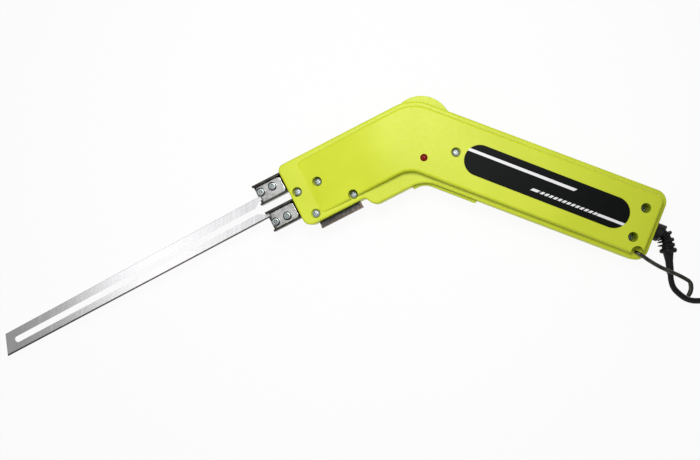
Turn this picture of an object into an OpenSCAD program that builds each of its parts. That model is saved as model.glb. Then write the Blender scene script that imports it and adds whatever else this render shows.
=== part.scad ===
// Electric hot knife: a bent two-part housing with a heated hairpin blade held in two clamps.
// The knife lies on its right half. The origin is under the bend of the housing, on the surface.

/* [Layout] */
// Rise of the nose towards the bend, in degrees
nose_angle = 27; // [22:0.5:32]
// Fall of the handle behind the bend, in degrees
handle_angle = 21; // [16:0.5:26]

/* [Housing] */
// Length of the nose, from the bend to its front
nose_l = 91.5; // [90:0.5:100]
// Height of the nose
nose_h = 46.4; // [46:0.2:52]
// Length of the handle, from the bend to its rear
handle_l = 176; // [172:1:200]
// Height of the handle
handle_h = 49.5; // [48:0.5:56]
// Thickness of one half over the raised panel
half_t = 20; // [19:0.5:24]
// Thickness of one half over the rim ledge
ledge_t = 12; // [12:0.25:13]
// Width of the rim ledge round the raised panel
ledge_w = 3.5; // [2.5:0.1:4]
// Wall of the shells
wall = 2.4; // [2:0.1:2.6]
// Radius of the raised panel's edge
edge_r = 1.5; // [1:0.25:4]
// Drop of the finger guard below the nose
guard_drop = 7.6; // [6:0.2:10]

/* [Blade] */
// Length of the blade that stands out of the clamps
blade_l = 210; // [80:5:300]
// Width of the blade at the clamps
blade_root_w = 16.4; // [15.5:0.1:17]
// Width of the blade at its tip
blade_tip_w = 14.7; // [12:0.1:17]
// Thickness of the blade
blade_t = 1.2; // [0.8:0.1:1.6]
// Width of the slot between the legs
slot_w = 4.2; // [3:0.1:5]
// Slant of the blade to the nose, in degrees
blade_skew = 0.9; // [0:0.1:1.2]

/* [Clamps] */
// Length of the clamps in front of the nose
clamp_l = 21.6; // [20:0.2:26]
// Outer height of one clamp channel
clamp_h = 16.2; // [15.6:0.1:16.4]
// Gap between the two clamps
clamp_gap = 4; // [3.8:0.1:4.6]
// Depth of the channel over the blade
clamp_depth = 8; // [6:0.25:9]
// Sheet of the channels
clamp_t = 1.4; // [1:0.1:1.6]
// Thickness of the pressure plates
plate_t = 2.4; // [1.5:0.1:3]

/* [Guide rail] */
// Length of the rail
rail_l = 32; // [30:0.5:36]
// Drop of the rail below the nose
rail_drop = 4.9; // [3:0.1:8]
// Sheet of the rail
rail_t = 1.2; // [0.8:0.1:1.4]
// Depth of the rail's lips
rail_lip = 6; // [3:0.5:10]

/* [Trigger] */
// Width of the trigger
trigger_w = 12; // [9:0.5:13]
// Stand of the trigger below the handle
trigger_stand = 2; // [1.6:0.1:3]
// Pull of the trigger, in degrees
trigger_pull = 3; // [1:0.5:3]
// Radius of the trigger's pin
pin_r = 1.5; // [1.2:0.05:1.7]

/* [Dial] */
// Radius of the thumb dial
dial_r = 21.3; // [20:0.1:22]
// Thickness of the dial
dial_t = 7; // [5:0.25:7.5]
// Radius of the potentiometer's shaft
shaft_r = 3; // [2:0.1:3.2]

/* [Lamp and label] */
// Radius of the lamp's lens
led_r = 2.5; // [1.5:0.1:3]
// Height of the label plate
label_h = 21; // [12:0.2:24]
// Thickness of the label plate
label_t = 0.4; // [0.2:0.1:1]

/* [Hook] */
// Radius of the hook's wire
hook_r = 1.2; // [1:0.1:1.5]
// Length of the hook's shank
hook_l = 42.5; // [25:0.5:45]
// Length of the hook's turned end
hook_end = 10.4; // [8:0.2:14]

/* [Cord] */
// Diameter of the cord
cord_d = 4; // [3.8:0.1:4.2]
// Length of the strain relief's tail
relief_tail = 20; // [17:0.5:24]
// Radius of the strain relief's ribs
rib_r = 5.9; // [5:0.1:6.1]

/* [Fasteners] */
// Shank radius of the housing screws
screw_r = 1.45; // [1.2:0.05:1.6]
// Head radius of the housing screws
screw_head_r = 2.6; // [2.2:0.1:2.9]
// Length of the housing screws
screw_l = 16; // [15:0.5:16.5]
// Shank radius of the clamp and busbar screws
bolt_r = 1.5; // [1.2:0.05:1.6]
// Head radius of the clamp and busbar screws
bolt_head_r = 3; // [2.5:0.1:3.2]

/* [Transformer] */
// Height of the core
core_h = 32; // [29:0.5:33]
// Thickness of the core's stack
core_t = 18; // [14:0.5:18]

/* [Hidden] */
$fn = 48;

// Colours
lime = [0.84, 0.88, 0.26];
steel = [0.70, 0.70, 0.72];
dark_steel = [0.30, 0.30, 0.32];
zinc = [0.78, 0.78, 0.80];
copper = [0.78, 0.45, 0.25];
black = [0.08, 0.08, 0.09];
lens_red = [0.5, 0.05, 0.05];
board_green = [0.1, 0.35, 0.2];
blue = [0.1, 0.25, 0.7];
red = [0.7, 0.1, 0.1];
amber = [0.7, 0.5, 0.1];
brown = [0.35, 0.2, 0.1];

// Clearances and the overrun of every cut
overrun = 1;
fit_gap = 0.05;
slide_gap = 0.3;
slot_gap = 0.6;

// Outline radii and steps
arc_n = 8;
nose_r = 4.5;
nose_low_r = 6;
guard_root_r = 2.5;
guard_r = 6;
finger_r = 18;
rear_r = 8.5;
elbow_r = 27;
panel_front_r = 5;
panel_low_r = 8;

// The rail, the guard's flank and the panel's slope, along the nose
rail_front_in = 8.6;
rail_front = nose_l - rail_front_in;
rail_rear = rail_front - rail_l;
guard_in = 4.23;
guard_flank = 3.67;
slope_start_share = 0.27;
slope_end_share = 0.87;
guard_root_u = rail_rear - guard_in;
guard_end_u = guard_root_u - guard_flank;
slope_start = nose_l * slope_start_share;
slope_end = nose_l * slope_end_share;

// Half heights of the outline and the panel
nose_v = nose_h / 2;
handle_v = handle_h / 2;
guard_v = nose_v + guard_drop;
panel_nose_v = nose_v - ledge_w;
panel_handle_v = handle_v - ledge_w;
inner_ledge = ledge_t - wall;
inner_panel = half_t - wall;

// A place on the nose or the handle, in the part's plan
function nose_pt(u, v) =
  [-u * cos(nose_angle) - v * sin(nose_angle), -u * sin(nose_angle) + v * cos(nose_angle)];
function handle_pt(u, v) =
  [u * cos(handle_angle) + v * sin(handle_angle), -u * sin(handle_angle) + v * cos(handle_angle)];

// The crossing of a line along the nose and a line along the handle
function meet(nv, hv) =
  let (turn = -sin(nose_angle + handle_angle))
  [(nv * cos(handle_angle) - hv * cos(nose_angle)) / turn,
   (-sin(nose_angle) * hv - sin(handle_angle) * nv) / turn];

// Rounded outlines: a corner is [place, radius], and corners run counter-clockwise
function unit(v) = v / norm(v);
function fillet(a, b, c, r, n) =
  let (p = unit(a - b), q = unit(c - b))
  let (half = acos(max(-1, min(1, p * q))) / 2, sweep = 180 - 2 * half)
  let (centre = b + unit(p + q) * r / sin(half), t = r / tan(half))
  let (s = b + p * t - centre, e = b + q * t - centre)
  [for (i = [0:n]) centre + (s * sin(sweep * (1 - i / n)) + e * sin(sweep * i / n)) / sin(sweep)];
function rounded(corners, n = arc_n) =
  let (m = len(corners))
  [for (i = [0:m - 1])
    each corners[i][1] <= 0 ? [corners[i][0]]
      : fillet(corners[(i + m - 1) % m][0], corners[i][0], corners[(i + 1) % m][0], corners[i][1], n)];
function left_of(v) = [-v[1], v[0]];
function inset(corners, d) =
  let (m = len(corners))
  [for (i = [0:m - 1])
    let (a = corners[(i + m - 1) % m][0], b = corners[i][0], c = corners[(i + 1) % m][0])
    let (e = unit(b - a), f = unit(c - b), p = left_of(e), q = left_of(f))
    let (bulges = e[0] * f[1] - e[1] * f[0] > 0)
    [b + (p + q) / (1 + p * q) * d, max(corners[i][1] + (bulges ? -d : d), 0)]];

rim_corners = [
  [nose_pt(nose_l, nose_v), nose_r],
  [nose_pt(nose_l, -nose_v), nose_low_r],
  [nose_pt(guard_root_u, -nose_v), guard_root_r],
  [nose_pt(guard_end_u, -guard_v), guard_r],
  [meet(-guard_v, -handle_v), finger_r],
  [handle_pt(handle_l, -handle_v), rear_r],
  [handle_pt(handle_l, handle_v), rear_r],
  [meet(nose_v, handle_v), elbow_r]];

// The raised panel as a loft of inset outlines, whose two chains run from the front to the rear
function panel_low(d) = [
  [nose_pt(slope_end - d, -panel_nose_v + d), panel_front_r],
  [nose_pt(slope_start, -panel_nose_v + d), 0],
  [meet(-panel_nose_v + d, -panel_handle_v + d), panel_low_r + d],
  [handle_pt(handle_l - ledge_w - d, -panel_handle_v + d), rear_r - ledge_w]];
function panel_high(d) = [
  [nose_pt(slope_end - d, panel_nose_v - d), panel_front_r],
  [nose_pt(slope_start, panel_nose_v - d), 0],
  [meet(panel_nose_v - d, panel_handle_v - d), elbow_r - ledge_w - d],
  [handle_pt(handle_l - ledge_w - d, panel_handle_v - d), rear_r - ledge_w]];
function chain_reverse(list) = [for (i = [len(list) - 1:-1:0]) list[i]];
function panel_ring(d) = rounded(concat(panel_low(d), chain_reverse(panel_high(d))));
function nose_u(p) = -p[0] * cos(nose_angle) - p[1] * sin(nose_angle);
function panel_fall(p) =
  let (k = max(0, min(1, (nose_u(p) - slope_start) / (slope_end - slope_start))))
  k * (half_t - ledge_t);
// The hollow under the panel
room_corners = [
  [nose_pt(slope_start, panel_nose_v), panel_front_r],
  [nose_pt(slope_start, -panel_nose_v), panel_front_r],
  [meet(-panel_nose_v, -panel_handle_v), panel_low_r],
  [handle_pt(handle_l - ledge_w, -panel_handle_v), rear_r - ledge_w],
  [handle_pt(handle_l - ledge_w, panel_handle_v), rear_r - ledge_w],
  [meet(panel_nose_v, panel_handle_v), elbow_r - ledge_w]];
edge_steps = 4;
panel_root = ledge_t - edge_r - overrun;

function panel_points() = concat(
  [for (p = panel_ring(0)) [p[0], p[1], panel_root]],
  [for (k = [0:edge_steps])
    let (a = 90 * k / edge_steps, d = edge_r * (1 - cos(a)), drop = edge_r * (1 - sin(a)))
    each [for (p = panel_ring(d)) [p[0], p[1], half_t - panel_fall(p) - drop]]]);
function loft_sides(rings, n) =
  [for (k = [0:rings - 2], i = [0:n - 1])
    let (j = (i + 1) % n, a = k * n + i, b = k * n + j, c = b + n, e = a + n)
    each [[a, e, c], [a, c, b]]];
function loft_caps(rings, n) =
  let (top = (rings - 1) * n)
  [for (i = [0:n / 2 - 2])
    let (p = i, q = i + 1, r = n - 2 - i, s = n - 1 - i)
    each [[p, q, r], [p, r, s], [top + p, top + r, top + q], [top + p, top + s, top + r]]];

module panel() {
  n = len(panel_ring(0));
  rings = edge_steps + 2;
  polyhedron(panel_points(), concat(loft_sides(rings, n), loft_caps(rings, n)));
}

// Frames: the mid-plane, the nose with x pointing back to the bend, and the handle
module at_mid() translate([0, 0, half_t]) children();
module on_nose() at_mid() rotate(nose_angle) children();
module on_handle() at_mid() rotate(-handle_angle) children();
module rod(r, low, high) translate([0, 0, low]) cylinder(r = r, h = high - low);
module slab(low_x, high_x, low_y, high_y, low_z, high_z)
  translate([low_x, low_y, low_z]) cube([high_x - low_x, high_y - low_y, high_z - low_z]);
module tube(path, r, sides, ref = [0, 0, 1]) {
  n = len(path);
  function along(i) = unit(path[min(i + 1, n - 1)] - path[max(i - 1, 0)]);
  points = [for (i = [0:n - 1])
    let (t = along(i), s = unit(cross(ref, t)), w = cross(t, s))
    each [for (k = [0:sides - 1])
      let (a = 360 * k / sides)
      path[i] + r * (cos(a) * s + sin(a) * w)]];
  last = (n - 1) * sides;
  caps = [for (k = [1:sides - 2]) each [[0, k, k + 1], [last, last + k + 1, last + k]]];
  polyhedron(points, concat(loft_sides(n, sides), caps));
}

// Housing screws, from the front, the rail's ends, the switch and the rear
nose_screw_ins = [5.22, 20.77];
nose_screw_share = 0.07;
rail_screw_share = -0.755;
rail_screw_ins = [1.46, 1.8];
rail_screw_us = [rail_front - rail_screw_ins[0], rail_rear + rail_screw_ins[1]];
front_screw_u = 32.74;
rear_screw_ins = [12.85, 13.9];
rear_screw_shares = [0.4, -0.444];
nose_screws = [for (d = nose_screw_ins) nose_pt(nose_l - d, nose_screw_share * nose_v)];
rail_screws = [for (u = rail_screw_us) nose_pt(u, rail_screw_share * nose_v)];
screw_seat = 7;
screw_head_h = 1.9;
boss_r = 4;
boss_gap = 1.05;
head_gap = 0.7;
cut_r = screw_head_r + head_gap;
recess_h = 1.1;
recess_w = 0.7;
recess_share = 0.6;

// Clamps, busbars and insulator
clamp_v = 2.2;
clamp_front = nose_l + clamp_l;
clamp_in = 0.5;
clamp_back = nose_l - clamp_in;
plate_end_gap = 1.6;
plate_r = 3;
plate_front_r = 1;
clamp_mid = clamp_gap / 2 + clamp_h / 2;
clamp_floor = -blade_t / 2;
clamp_top = clamp_floor + clamp_t + clamp_depth;
bolt_v = 11.5;
bolt_front_share = 0.16;
bolt_rear_share = 0.58;
bolt_head_h = 2.2;
socket_r = 1.45;
socket_h = 1.3;
nut_r = 3.17;
nut_h = 2.4;
tongue_w = 10;
tongue_l = 17;
busbar_w = 7;
busbar_t = 1.5;
busbar_bolt_in = 11.5;
busbar_bolt_u = nose_l - busbar_bolt_in;
busbar_bolt_depth = 6;
insulator_l = 13.6;
insulator_front = nose_l - wall - slide_gap;
insulator_low = -12.9;
insulator_high = 19;
function clamp_centre(side) = clamp_v + side * clamp_mid;
function bolt_u(share) = clamp_front - share * clamp_l;

// Transformer
core_rear = 18;
core_front_in = 33.5;
core_front = nose_l - core_front_in;
core_low = -13;
core_leg_share = 0.172;
core_leg = core_h * core_leg_share;
coil_gap = 0.3;
coil_bulge = 2.8;
coil_rear = core_rear + core_leg + coil_gap;
coil_front = core_front - core_leg - coil_gap;
core_mid = core_low + core_h / 2;
coil_top = core_t / 2 + coil_bulge;
window_h = (core_h - 4 * core_leg) / 2;
saddle_w = 2.5;
saddle_in = 1;
saddle_shares = [[0.66, 0.97], [0.03, 0.4]];
left_saddle_shares = [0.42, 0.58];
right_saddle_shares = [0.05, 0.95];
busbar_top = core_t / 2 + slide_gap + busbar_t;

// The hollow round the transformer
coil_room_gap = 2;
coil_room_front = core_front + busbar_t + coil_room_gap;
coil_room_v = panel_nose_v - wall;
coil_room = [
  [nose_pt(coil_room_front, coil_room_v), 0],
  [nose_pt(coil_room_front, -coil_room_v), 0],
  [nose_pt(core_rear, -coil_room_v), 0],
  [nose_pt(core_rear, coil_room_v), 0]];

// Guide rail
rail_low = -nose_v - rail_drop;
rail_up = 9.5;
rail_tab_more = 3;

// Blade
blade_v = 3.6;
tab_l = 19;
tab_in = 5.2;
tab_kink = 5.5;
tip_slant = 5.7;
tip_r = 1.6;
tip_web = 7;
slot_end = blade_l - tip_slant / 2 - tip_web - slot_w / 2;

// Trigger and switch, on the handle
pivot_u = 60;
pivot_up = 6.75;
pivot_v = -handle_v + pivot_up;
eye_r = 4.2;
eye_low = -trigger_w / 2;
eye_high = 1;
paddle_h = 7;
paddle_end = 57.5;
paddle_front = 8.2;
paddle_r = 1;
paddle_bend_r = 10;
paddle_low = -handle_v - trigger_stand;
paddle_high = paddle_low + paddle_h;
bend_angle = nose_angle + handle_angle;
bend_u = meet(-guard_v - trigger_stand, paddle_low) * [cos(handle_angle), -sin(handle_angle)];
paddle_thick = 4.8;
inner_bend_u = bend_u - paddle_thick / sin(bend_angle) + paddle_h / tan(bend_angle);
function front_pt(along, off) =
  [bend_u - along * cos(bend_angle) - off * sin(bend_angle),
   paddle_low - along * sin(bend_angle) + off * cos(bend_angle)];
trigger_corners = [
  [front_pt(paddle_front, 0), paddle_r],
  [[bend_u, paddle_low], paddle_bend_r],
  [[paddle_end, paddle_low], paddle_r],
  [[paddle_end, paddle_high], paddle_r],
  [[inner_bend_u, paddle_high], paddle_r],
  [front_pt(paddle_front, paddle_thick), paddle_r]];
spring_wire_r = 0.5;
spring_r = 2.7;
spring_turns = 3;
spring_pitch = 1.4;
spring_steps = 12;
spring_leg = 9;
spring_low = eye_high + spring_wire_r + slide_gap / 2;
spring_path = concat(
  [[-spring_leg, -spring_r, spring_low]],
  [for (i = [0:spring_turns * spring_steps])
    let (a = 360 * i / spring_steps - 90)
    [spring_r * cos(a), spring_r * sin(a), spring_low + spring_pitch * i / spring_steps]],
  [[spring_leg / 2, -spring_r, spring_low + spring_pitch * spring_turns]]);
switch_rear = 56;
switch_l = 28;
switch_h = 10.6;
switch_t = 10.3;
switch_up = 4.1;
switch_low = paddle_high + switch_up;
front_screw_v = switch_low + switch_h + boss_gap + boss_r;
handle_screws = concat(
  [handle_pt(front_screw_u, front_screw_v)],
  [for (k = [0, 1]) handle_pt(handle_l - rear_screw_ins[k], rear_screw_shares[k] * handle_v)]);
all_screws = concat(nose_screws, rail_screws, handle_screws);
plunger_u = 36;
plunger_r = 1.4;
plunger_in = 2.4;
plunger_room = 2.2;
switch_post_r = 1.5;
switch_post_base_r = 3.5;
switch_post_in = 5;
switch_post_drop = 3;
switch_posts = [switch_rear - switch_l + switch_post_in, switch_rear - switch_post_in];
switch_post_v = switch_low + switch_h - switch_post_drop;
pin_in = 6;
pin_half = trigger_w / 2 + pin_in;
pin_boss_r = 3.5;

// Dial, potentiometer, board and lamp, on the handle
dial_u = 3.75;
dial_down = 15.85;
dial_v = handle_v - dial_down;
pot_w = 16;
pot_h = 7;
pot_drop = 2.5;
pot_top = -dial_t / 2 - pot_drop;
bushing_r = 4.5;
board_t = 1.6;
board_top = pot_top - pot_h;
board_low = board_top - board_t;
board_box = [[-9, -12.5], [26, 14]];
board_post_r = 2.5;
board_post_in = 3;
triac_box = [[14.5, -1.5], [24.5, 13.5]];
triac_h = 4.5;
capacitor_box = [[-6, -12], [4, -7.5]];
capacitor_h = 8;
led_side = 10.15;
led_away = 22.25;
led_v = -10.9;
led_u = dial_u + sqrt(max(led_side * led_side, led_away * led_away - (dial_v - led_v) * (dial_v - led_v)));
led_stand = 1.3;
led_body = 4.4;
led_flange = 0.45;
led_flange_h = 1;
lead_r = 0.3;
lead_gap = 1.27;
label_front = 39;
label_rear_in = 21;
label_l = handle_l - label_rear_in - label_front;
label_u = label_front + label_l / 2;
label_v = 0.4;

// Hook, on the handle
hook_in = 7.6;
hook_up = 5.25;
hook_u = handle_l - hook_in;
hook_v = -handle_v + hook_up;
hook_angle = -7.5;
hook_bend_r = 3.5;
hook_turn = atan2(24, 7); // its sine and cosine are short decimals, so the bend meets both rods exactly
hook_lift = 1.2;
hook_level = ledge_t + hook_r + hook_lift;
hook_notch_r = 4.2;
hook_notch_in = 0.4;
clip_r = 2.6;
clip_t = 0.8;
clip_top = 4.2;
hook_pin_low = 2.4;

// Strain relief and the cord's inner end, on the handle
relief_v = -1.2;
relief_flange_r = 7;
relief_flange_t = 2;
relief_neck_r = 5;
collar_r = 6.2;
collar_l = 7.2;
relief_bend_r = 9;
relief_start = 45;
relief_lean = 5.9;
core_r = 3.4;
rib_t = 1.7;
bend_rib_turns = [35.5, 13.8];
bend_rib_out = 1;
bend_rib_r = rib_r - bend_rib_out;
tail_rib_drops = [1.2, 4.6];
tail_start_r = 3.9;
tail_end_r = 2.4;
relief_in = handle_l - wall - slide_gap;
inner_cord_in = 36;
inner_cord_end = handle_l - inner_cord_in;
cord_clamp_in = 26;
cord_clamp_u = handle_l - cord_clamp_in;
cord_clamp_w = 7;
cord_clamp_l = 22;
cord_clamp_t = 3;
cord_screw_gap = 8;
cord_screw_r = 1.3;
cord_screw_head_r = 2.4;
cord_screw_head_h = 1.8;
cord_screw_depth = 11;
cord_post_r = 3;
wire_r = 0.8;
relief_joint = handle_pt(handle_l + collar_l, relief_v);
bend_centre = relief_joint - relief_bend_r * [cos(relief_start), sin(relief_start)];
bend_end = bend_centre + [relief_bend_r, 0];
tail_end = bend_end + relief_tail * [sin(relief_lean), -cos(relief_lean)];
cord_exit = [tail_end[0], tail_end[1], half_t];

// Inner wires, by hand-laid points on the handle or the nose
wire_sides = 8;
wire_off = 1;
switch_wire_up = 4.15;
switch_wire_v = switch_low + switch_wire_up;
live_v = relief_v - wire_off;
neutral_v = relief_v + wire_off;
board_mid = board_low + board_t / 2;
primary_level = -core_t / 2 - 2 * wire_r;
primary_end = -4.6;
primary_places = [3, 6];
function back_u(share) = switch_rear + share * (inner_cord_end - switch_rear);
live_route = [
  [inner_cord_end, live_v, 0], [back_u(0.952), live_v, 0], [back_u(0.881), -3, 0],
  [back_u(0.643), -8, 0], [back_u(0.345), -11, 0], [back_u(0.119), switch_wire_v, 0],
  [switch_rear, switch_wire_v, 0]];
neutral_route = [
  [inner_cord_end, neutral_v, 0], [back_u(0.952), neutral_v, 0], [back_u(0.821), 3, -3],
  [back_u(0.583), 8, -8], [back_u(0.286), 10, -12], [back_u(0.024), 10, -13.8],
  [40, 10, board_mid], [board_box[1][0], 10, board_mid]];
switch_route = [
  [switch_rear - switch_l, -12, -1], [26, -12, -1], [23, -12, -4], [22.5, -12, -8],
  [22.5, -12, board_top]];
primary_route = [
  [-coil_rear, 0, primary_level], [-18, 0, primary_level], [-11, 0, primary_level],
  [-6, 0, primary_level], [primary_end, 0, primary_level - wire_r], [primary_end, 0, board_top]];

// The cord's free run, from the strain relief to the coil, and from the coil to the plug
lead_route = [
  [0, 0, 0], [0.54, -5.2, 0], [2.4, -10.1, -0.5], [6.2, -14, -1.6], [10.5, -17, -3.4],
  [15.4, -18.7, -5.5], [20.6, -19, -7.8], [25.8, -19, -10.2], [31.1, -19, -12.4],
  [36.3, -19, -14.4], [41.5, -19, -15.8], [46.8, -19, -16.7], [52, -19, -16.7]];
tail_route = [
  [0, 0, 0], [0, 6, 0], [0, 12, -1], [0, 18, -3.2], [0, 24, -5.7], [0, 30, -8.2], [0, 36, -10.4],
  [0, 42, -11.3], [0, 48, -11.3]];
lead_end = cord_exit + lead_route[len(lead_route) - 1];
tube_sides = 10;

// The coil: loops that spiral in and out in four layers, then a quarter turn to the tail
coil_sides = 6;
coil_steps = 24;
layer_loops = 3;
layers = 4;
loop_pitch = 5;
layer_pitch = 5;
coil_mid_r = 24;
coil_out_r = coil_mid_r + loop_pitch * layer_loops / 2;
last_turn_share = 0.25;
climb_share = 0.5;
tie_turn_share = 0.5;
coil_turns = layers * layer_loops + last_turn_share;
coil_centre = [lead_end[0] + cord_d, lead_end[1] + coil_out_r, lead_end[2]];
function smooth(x) = let (k = max(0, min(1, x))) k * k * (3 - 2 * k);
function saw(t) =
  let (period = 2 * layer_loops, m = t - period * floor(t / period))
  t > layers * layer_loops ? layers * layer_loops - t : m < layer_loops ? m : period - m;
function climb(t) =
  layer_pitch * [for (k = [1:layers - 1]) smooth((t - k * layer_loops) / climb_share + 1 / 2)]
    * [for (k = [1:layers - 1]) 1];
function coil_pt(t) =
  let (r = coil_out_r - loop_pitch * saw(t), a = 360 * t - 90)
  coil_centre + [r * cos(a), r * sin(a), climb(t)];
coil_count = coil_turns * coil_steps;
coil_last = coil_pt(coil_turns);
coil_path = concat(
  [lead_end],
  [for (i = [0:coil_count]) coil_pt(i / coil_steps)],
  [coil_last + [0, cord_d, 0]]);
coil_end = coil_path[len(coil_path) - 1];
function loop_gaps() =
  [for (i = [0:coil_count], j = [i + coil_steps / 2:coil_count])
    norm(coil_path[i + 1] - coil_path[j + 1]) - cord_d];

// Tie and plug
tie_gap = 0.6;
tie_t = 0.6;
tie_w = 6;
plug_neck_l = 10;
plug_neck_r = 5.2;
plug_neck_tip_r = 3.4;
plug_w = 35.3;
plug_back_w = 18;
plug_shoulder = 12;
plug_l = 25;
plug_t = 13.7;
plug_r = 4;
plug_face_r = 1;
plug_pin_r = 2;
plug_pin_l = 19;
plug_pin_gap = 18.6;
plug_at = coil_end + tail_route[len(tail_route) - 1];

module shell() {
  difference() {
    union() {
      linear_extrude(ledge_t) polygon(rounded(rim_corners));
      panel();
    }
    translate([0, 0, -overrun]) linear_extrude(inner_ledge + overrun)
      polygon(rounded(inset(rim_corners, wall)));
    translate([0, 0, -overrun]) linear_extrude(inner_panel + overrun)
      polygon(rounded(inset(room_corners, wall)));
    translate([0, 0, -overrun]) linear_extrude(coil_top + coil_gap + overrun)
      polygon(rounded(coil_room));
  }
}

// Bosses stand from the shell to the mid-plane, and the rail's sheet lies between two pairs of them
module bosses(r) {
  for (p = nose_screws) translate(p) rod(r, 0, ledge_t - wall / 2);
  for (p = rail_screws) translate(p) rod(r, rail_t / 2, ledge_t - wall / 2);
  for (p = handle_screws) translate(p) rod(r, 0, half_t - wall / 2);
}
module trigger_slot() {
  grown = rounded(inset(trigger_corners, -slot_gap));
  translate([0, 0, -trigger_w / 2 - slot_gap]) linear_extrude(trigger_w + 2 * slot_gap) {
    polygon(grown);
    translate([pivot_u, pivot_v]) rotate(-trigger_pull) translate([-pivot_u, -pivot_v]) polygon(grown);
  }
}
module front_windows() {
  for (side = [-1, 1])
    slab(-nose_l - overrun, -nose_l + wall + overrun,
         clamp_centre(side) - clamp_h / 2 - slide_gap, clamp_centre(side) + clamp_h / 2 + slide_gap,
         clamp_floor - clamp_t - slide_gap, clamp_top + slide_gap);
}
module rail_slit() {
  slab(-rail_front - slide_gap, -rail_rear + slide_gap, -nose_v - overrun,
       -nose_v + wall + overrun, -rail_t / 2 - fit_gap, rail_t / 2 + fit_gap);
}
module half_cuts() {
  rotate(-handle_angle) {
    trigger_slot();
    translate([dial_u, dial_v]) rod(dial_r + slot_gap, -dial_t / 2 - slot_gap, dial_t / 2 + slot_gap);
    translate([0, relief_v]) rotate([0, 90])
      rod(relief_neck_r + fit_gap, relief_in - overrun, handle_l + overrun);
    translate([pivot_u, pivot_v]) rod(pin_r + fit_gap / 2, -pin_half - fit_gap, pin_half + fit_gap);
  }
  rotate(nose_angle) {
    front_windows();
    rail_slit();
  }
}
module pin_boss() {
  translate([pivot_u, pivot_v])
    rod(pin_boss_r, trigger_w / 2 + slide_gap, inner_panel + wall / 2);
}
module saddles(front_shares) {
  deep = inner_panel + wall / 2;
  low = coil_top + coil_gap + wall / 2;
  rear_edge = -core_rear - saddle_in;
  front_edge = -core_front + saddle_in;
  for (s = saddle_shares)
    slab(rear_edge - saddle_w, rear_edge, core_low + s[0] * core_h, core_low + s[1] * core_h,
         core_t / 2, deep);
  slab(front_edge, front_edge + saddle_w, core_low + front_shares[0] * core_h,
       core_low + front_shares[1] * core_h, core_t / 2, low);
}

module housing_left() color(lime) at_mid() difference() {
  union() {
    shell();
    bosses(boss_r);
    rotate(-handle_angle) {
      pin_boss();
      translate([hook_u, hook_v]) rod(boss_r, clip_top + slide_gap, ledge_t - wall / 2);
    }
    rotate(nose_angle) saddles(left_saddle_shares);
  }
  half_cuts();
  for (p = all_screws) translate(p) {
    rod(screw_r + slide_gap, -overrun, half_t + overrun);
    rod(cut_r, screw_seat, half_t + overrun);
  }
  rotate(-handle_angle) {
    translate([led_u, led_v]) rod(led_r + fit_gap, 0, half_t + overrun);
    translate([hook_u, hook_v]) {
      rod(hook_r + fit_gap, 0, half_t + overrun);
      rod(hook_notch_r, ledge_t - hook_notch_in, half_t + overrun);
    }
  }
}

module housing_right() color(lime) at_mid() difference() {
  union() {
    mirror([0, 0, 1]) {
      shell();
      bosses(boss_r);
      rotate(nose_angle) saddles(right_saddle_shares);
      rotate(-handle_angle) {
        pin_boss();
        for (x = [board_box[0][0] + board_post_in, board_box[1][0] - board_post_in],
             y = [board_box[0][1] + board_post_in, board_box[1][1] - board_post_in])
          translate([x, y]) rod(board_post_r, -board_low, inner_panel + wall / 2);
        for (x = switch_posts) translate([x, switch_post_v])
          rod(switch_post_base_r, switch_t / 2, inner_panel + wall / 2);
        for (side = [-1, 1])
          translate([cord_clamp_u + cord_clamp_w / 2, relief_v + side * cord_screw_gap])
            rod(cord_post_r, -cord_d / 2, inner_panel + wall / 2);
        slab(cord_clamp_u, cord_clamp_u + cord_clamp_w, relief_v - cord_d / 2, relief_v + cord_d / 2,
             cord_d / 2 + fit_gap, inner_panel + wall / 2);
      }
    }
    rotate(-handle_angle) for (x = switch_posts) translate([x, switch_post_v])
      rod(switch_post_r, -switch_t / 2 - overrun, switch_t / 2 - overrun);
  }
  half_cuts();
  for (p = all_screws) translate(p) rod(screw_r + fit_gap, screw_seat - screw_l - overrun / 2, overrun);
  rotate(-handle_angle) for (side = [-1, 1])
    translate([cord_clamp_u + cord_clamp_w / 2, relief_v + side * cord_screw_gap])
      rod(cord_screw_r + fit_gap, cord_d / 2 - cord_screw_depth, cord_d);
}

module cross_screw(r, head_r, head_h, length) {
  difference() {
    union() {
      rod(r, -length, 0);
      rod(head_r, 0, head_h);
    }
    for (a = [0, 90]) rotate(a)
      slab(-head_r * recess_share, head_r * recess_share, -recess_w / 2, recess_w / 2,
           head_h - recess_h, head_h + overrun);
  }
}
module housing_screws() color(zinc) at_mid()
  for (p = all_screws) translate([p[0], p[1], screw_seat])
    cross_screw(screw_r, screw_head_r, screw_head_h, screw_l);

module label_plate() color(black) on_handle() translate([label_u, label_v, half_t])
  linear_extrude(label_t) {
    square([label_l - label_h, label_h], center = true);
    for (side = [-1, 1]) translate([side * (label_l - label_h) / 2, 0]) circle(label_h / 2);
  }

module led_lens() color(lens_red) on_handle() translate([led_u, led_v]) {
  rod(led_r, half_t - led_body, half_t + led_stand - led_r);
  translate([0, 0, half_t + led_stand - led_r]) sphere(led_r);
  rod(led_r + led_flange, inner_panel - led_flange_h, inner_panel);
}
module led_leads() color(zinc) on_handle()
  for (side = [-1, 1])
    translate([led_u, led_v] + side * lead_gap * unit([led_v - dial_v, dial_u - led_u]))
      rod(lead_r, board_top, half_t - led_body);

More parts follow.
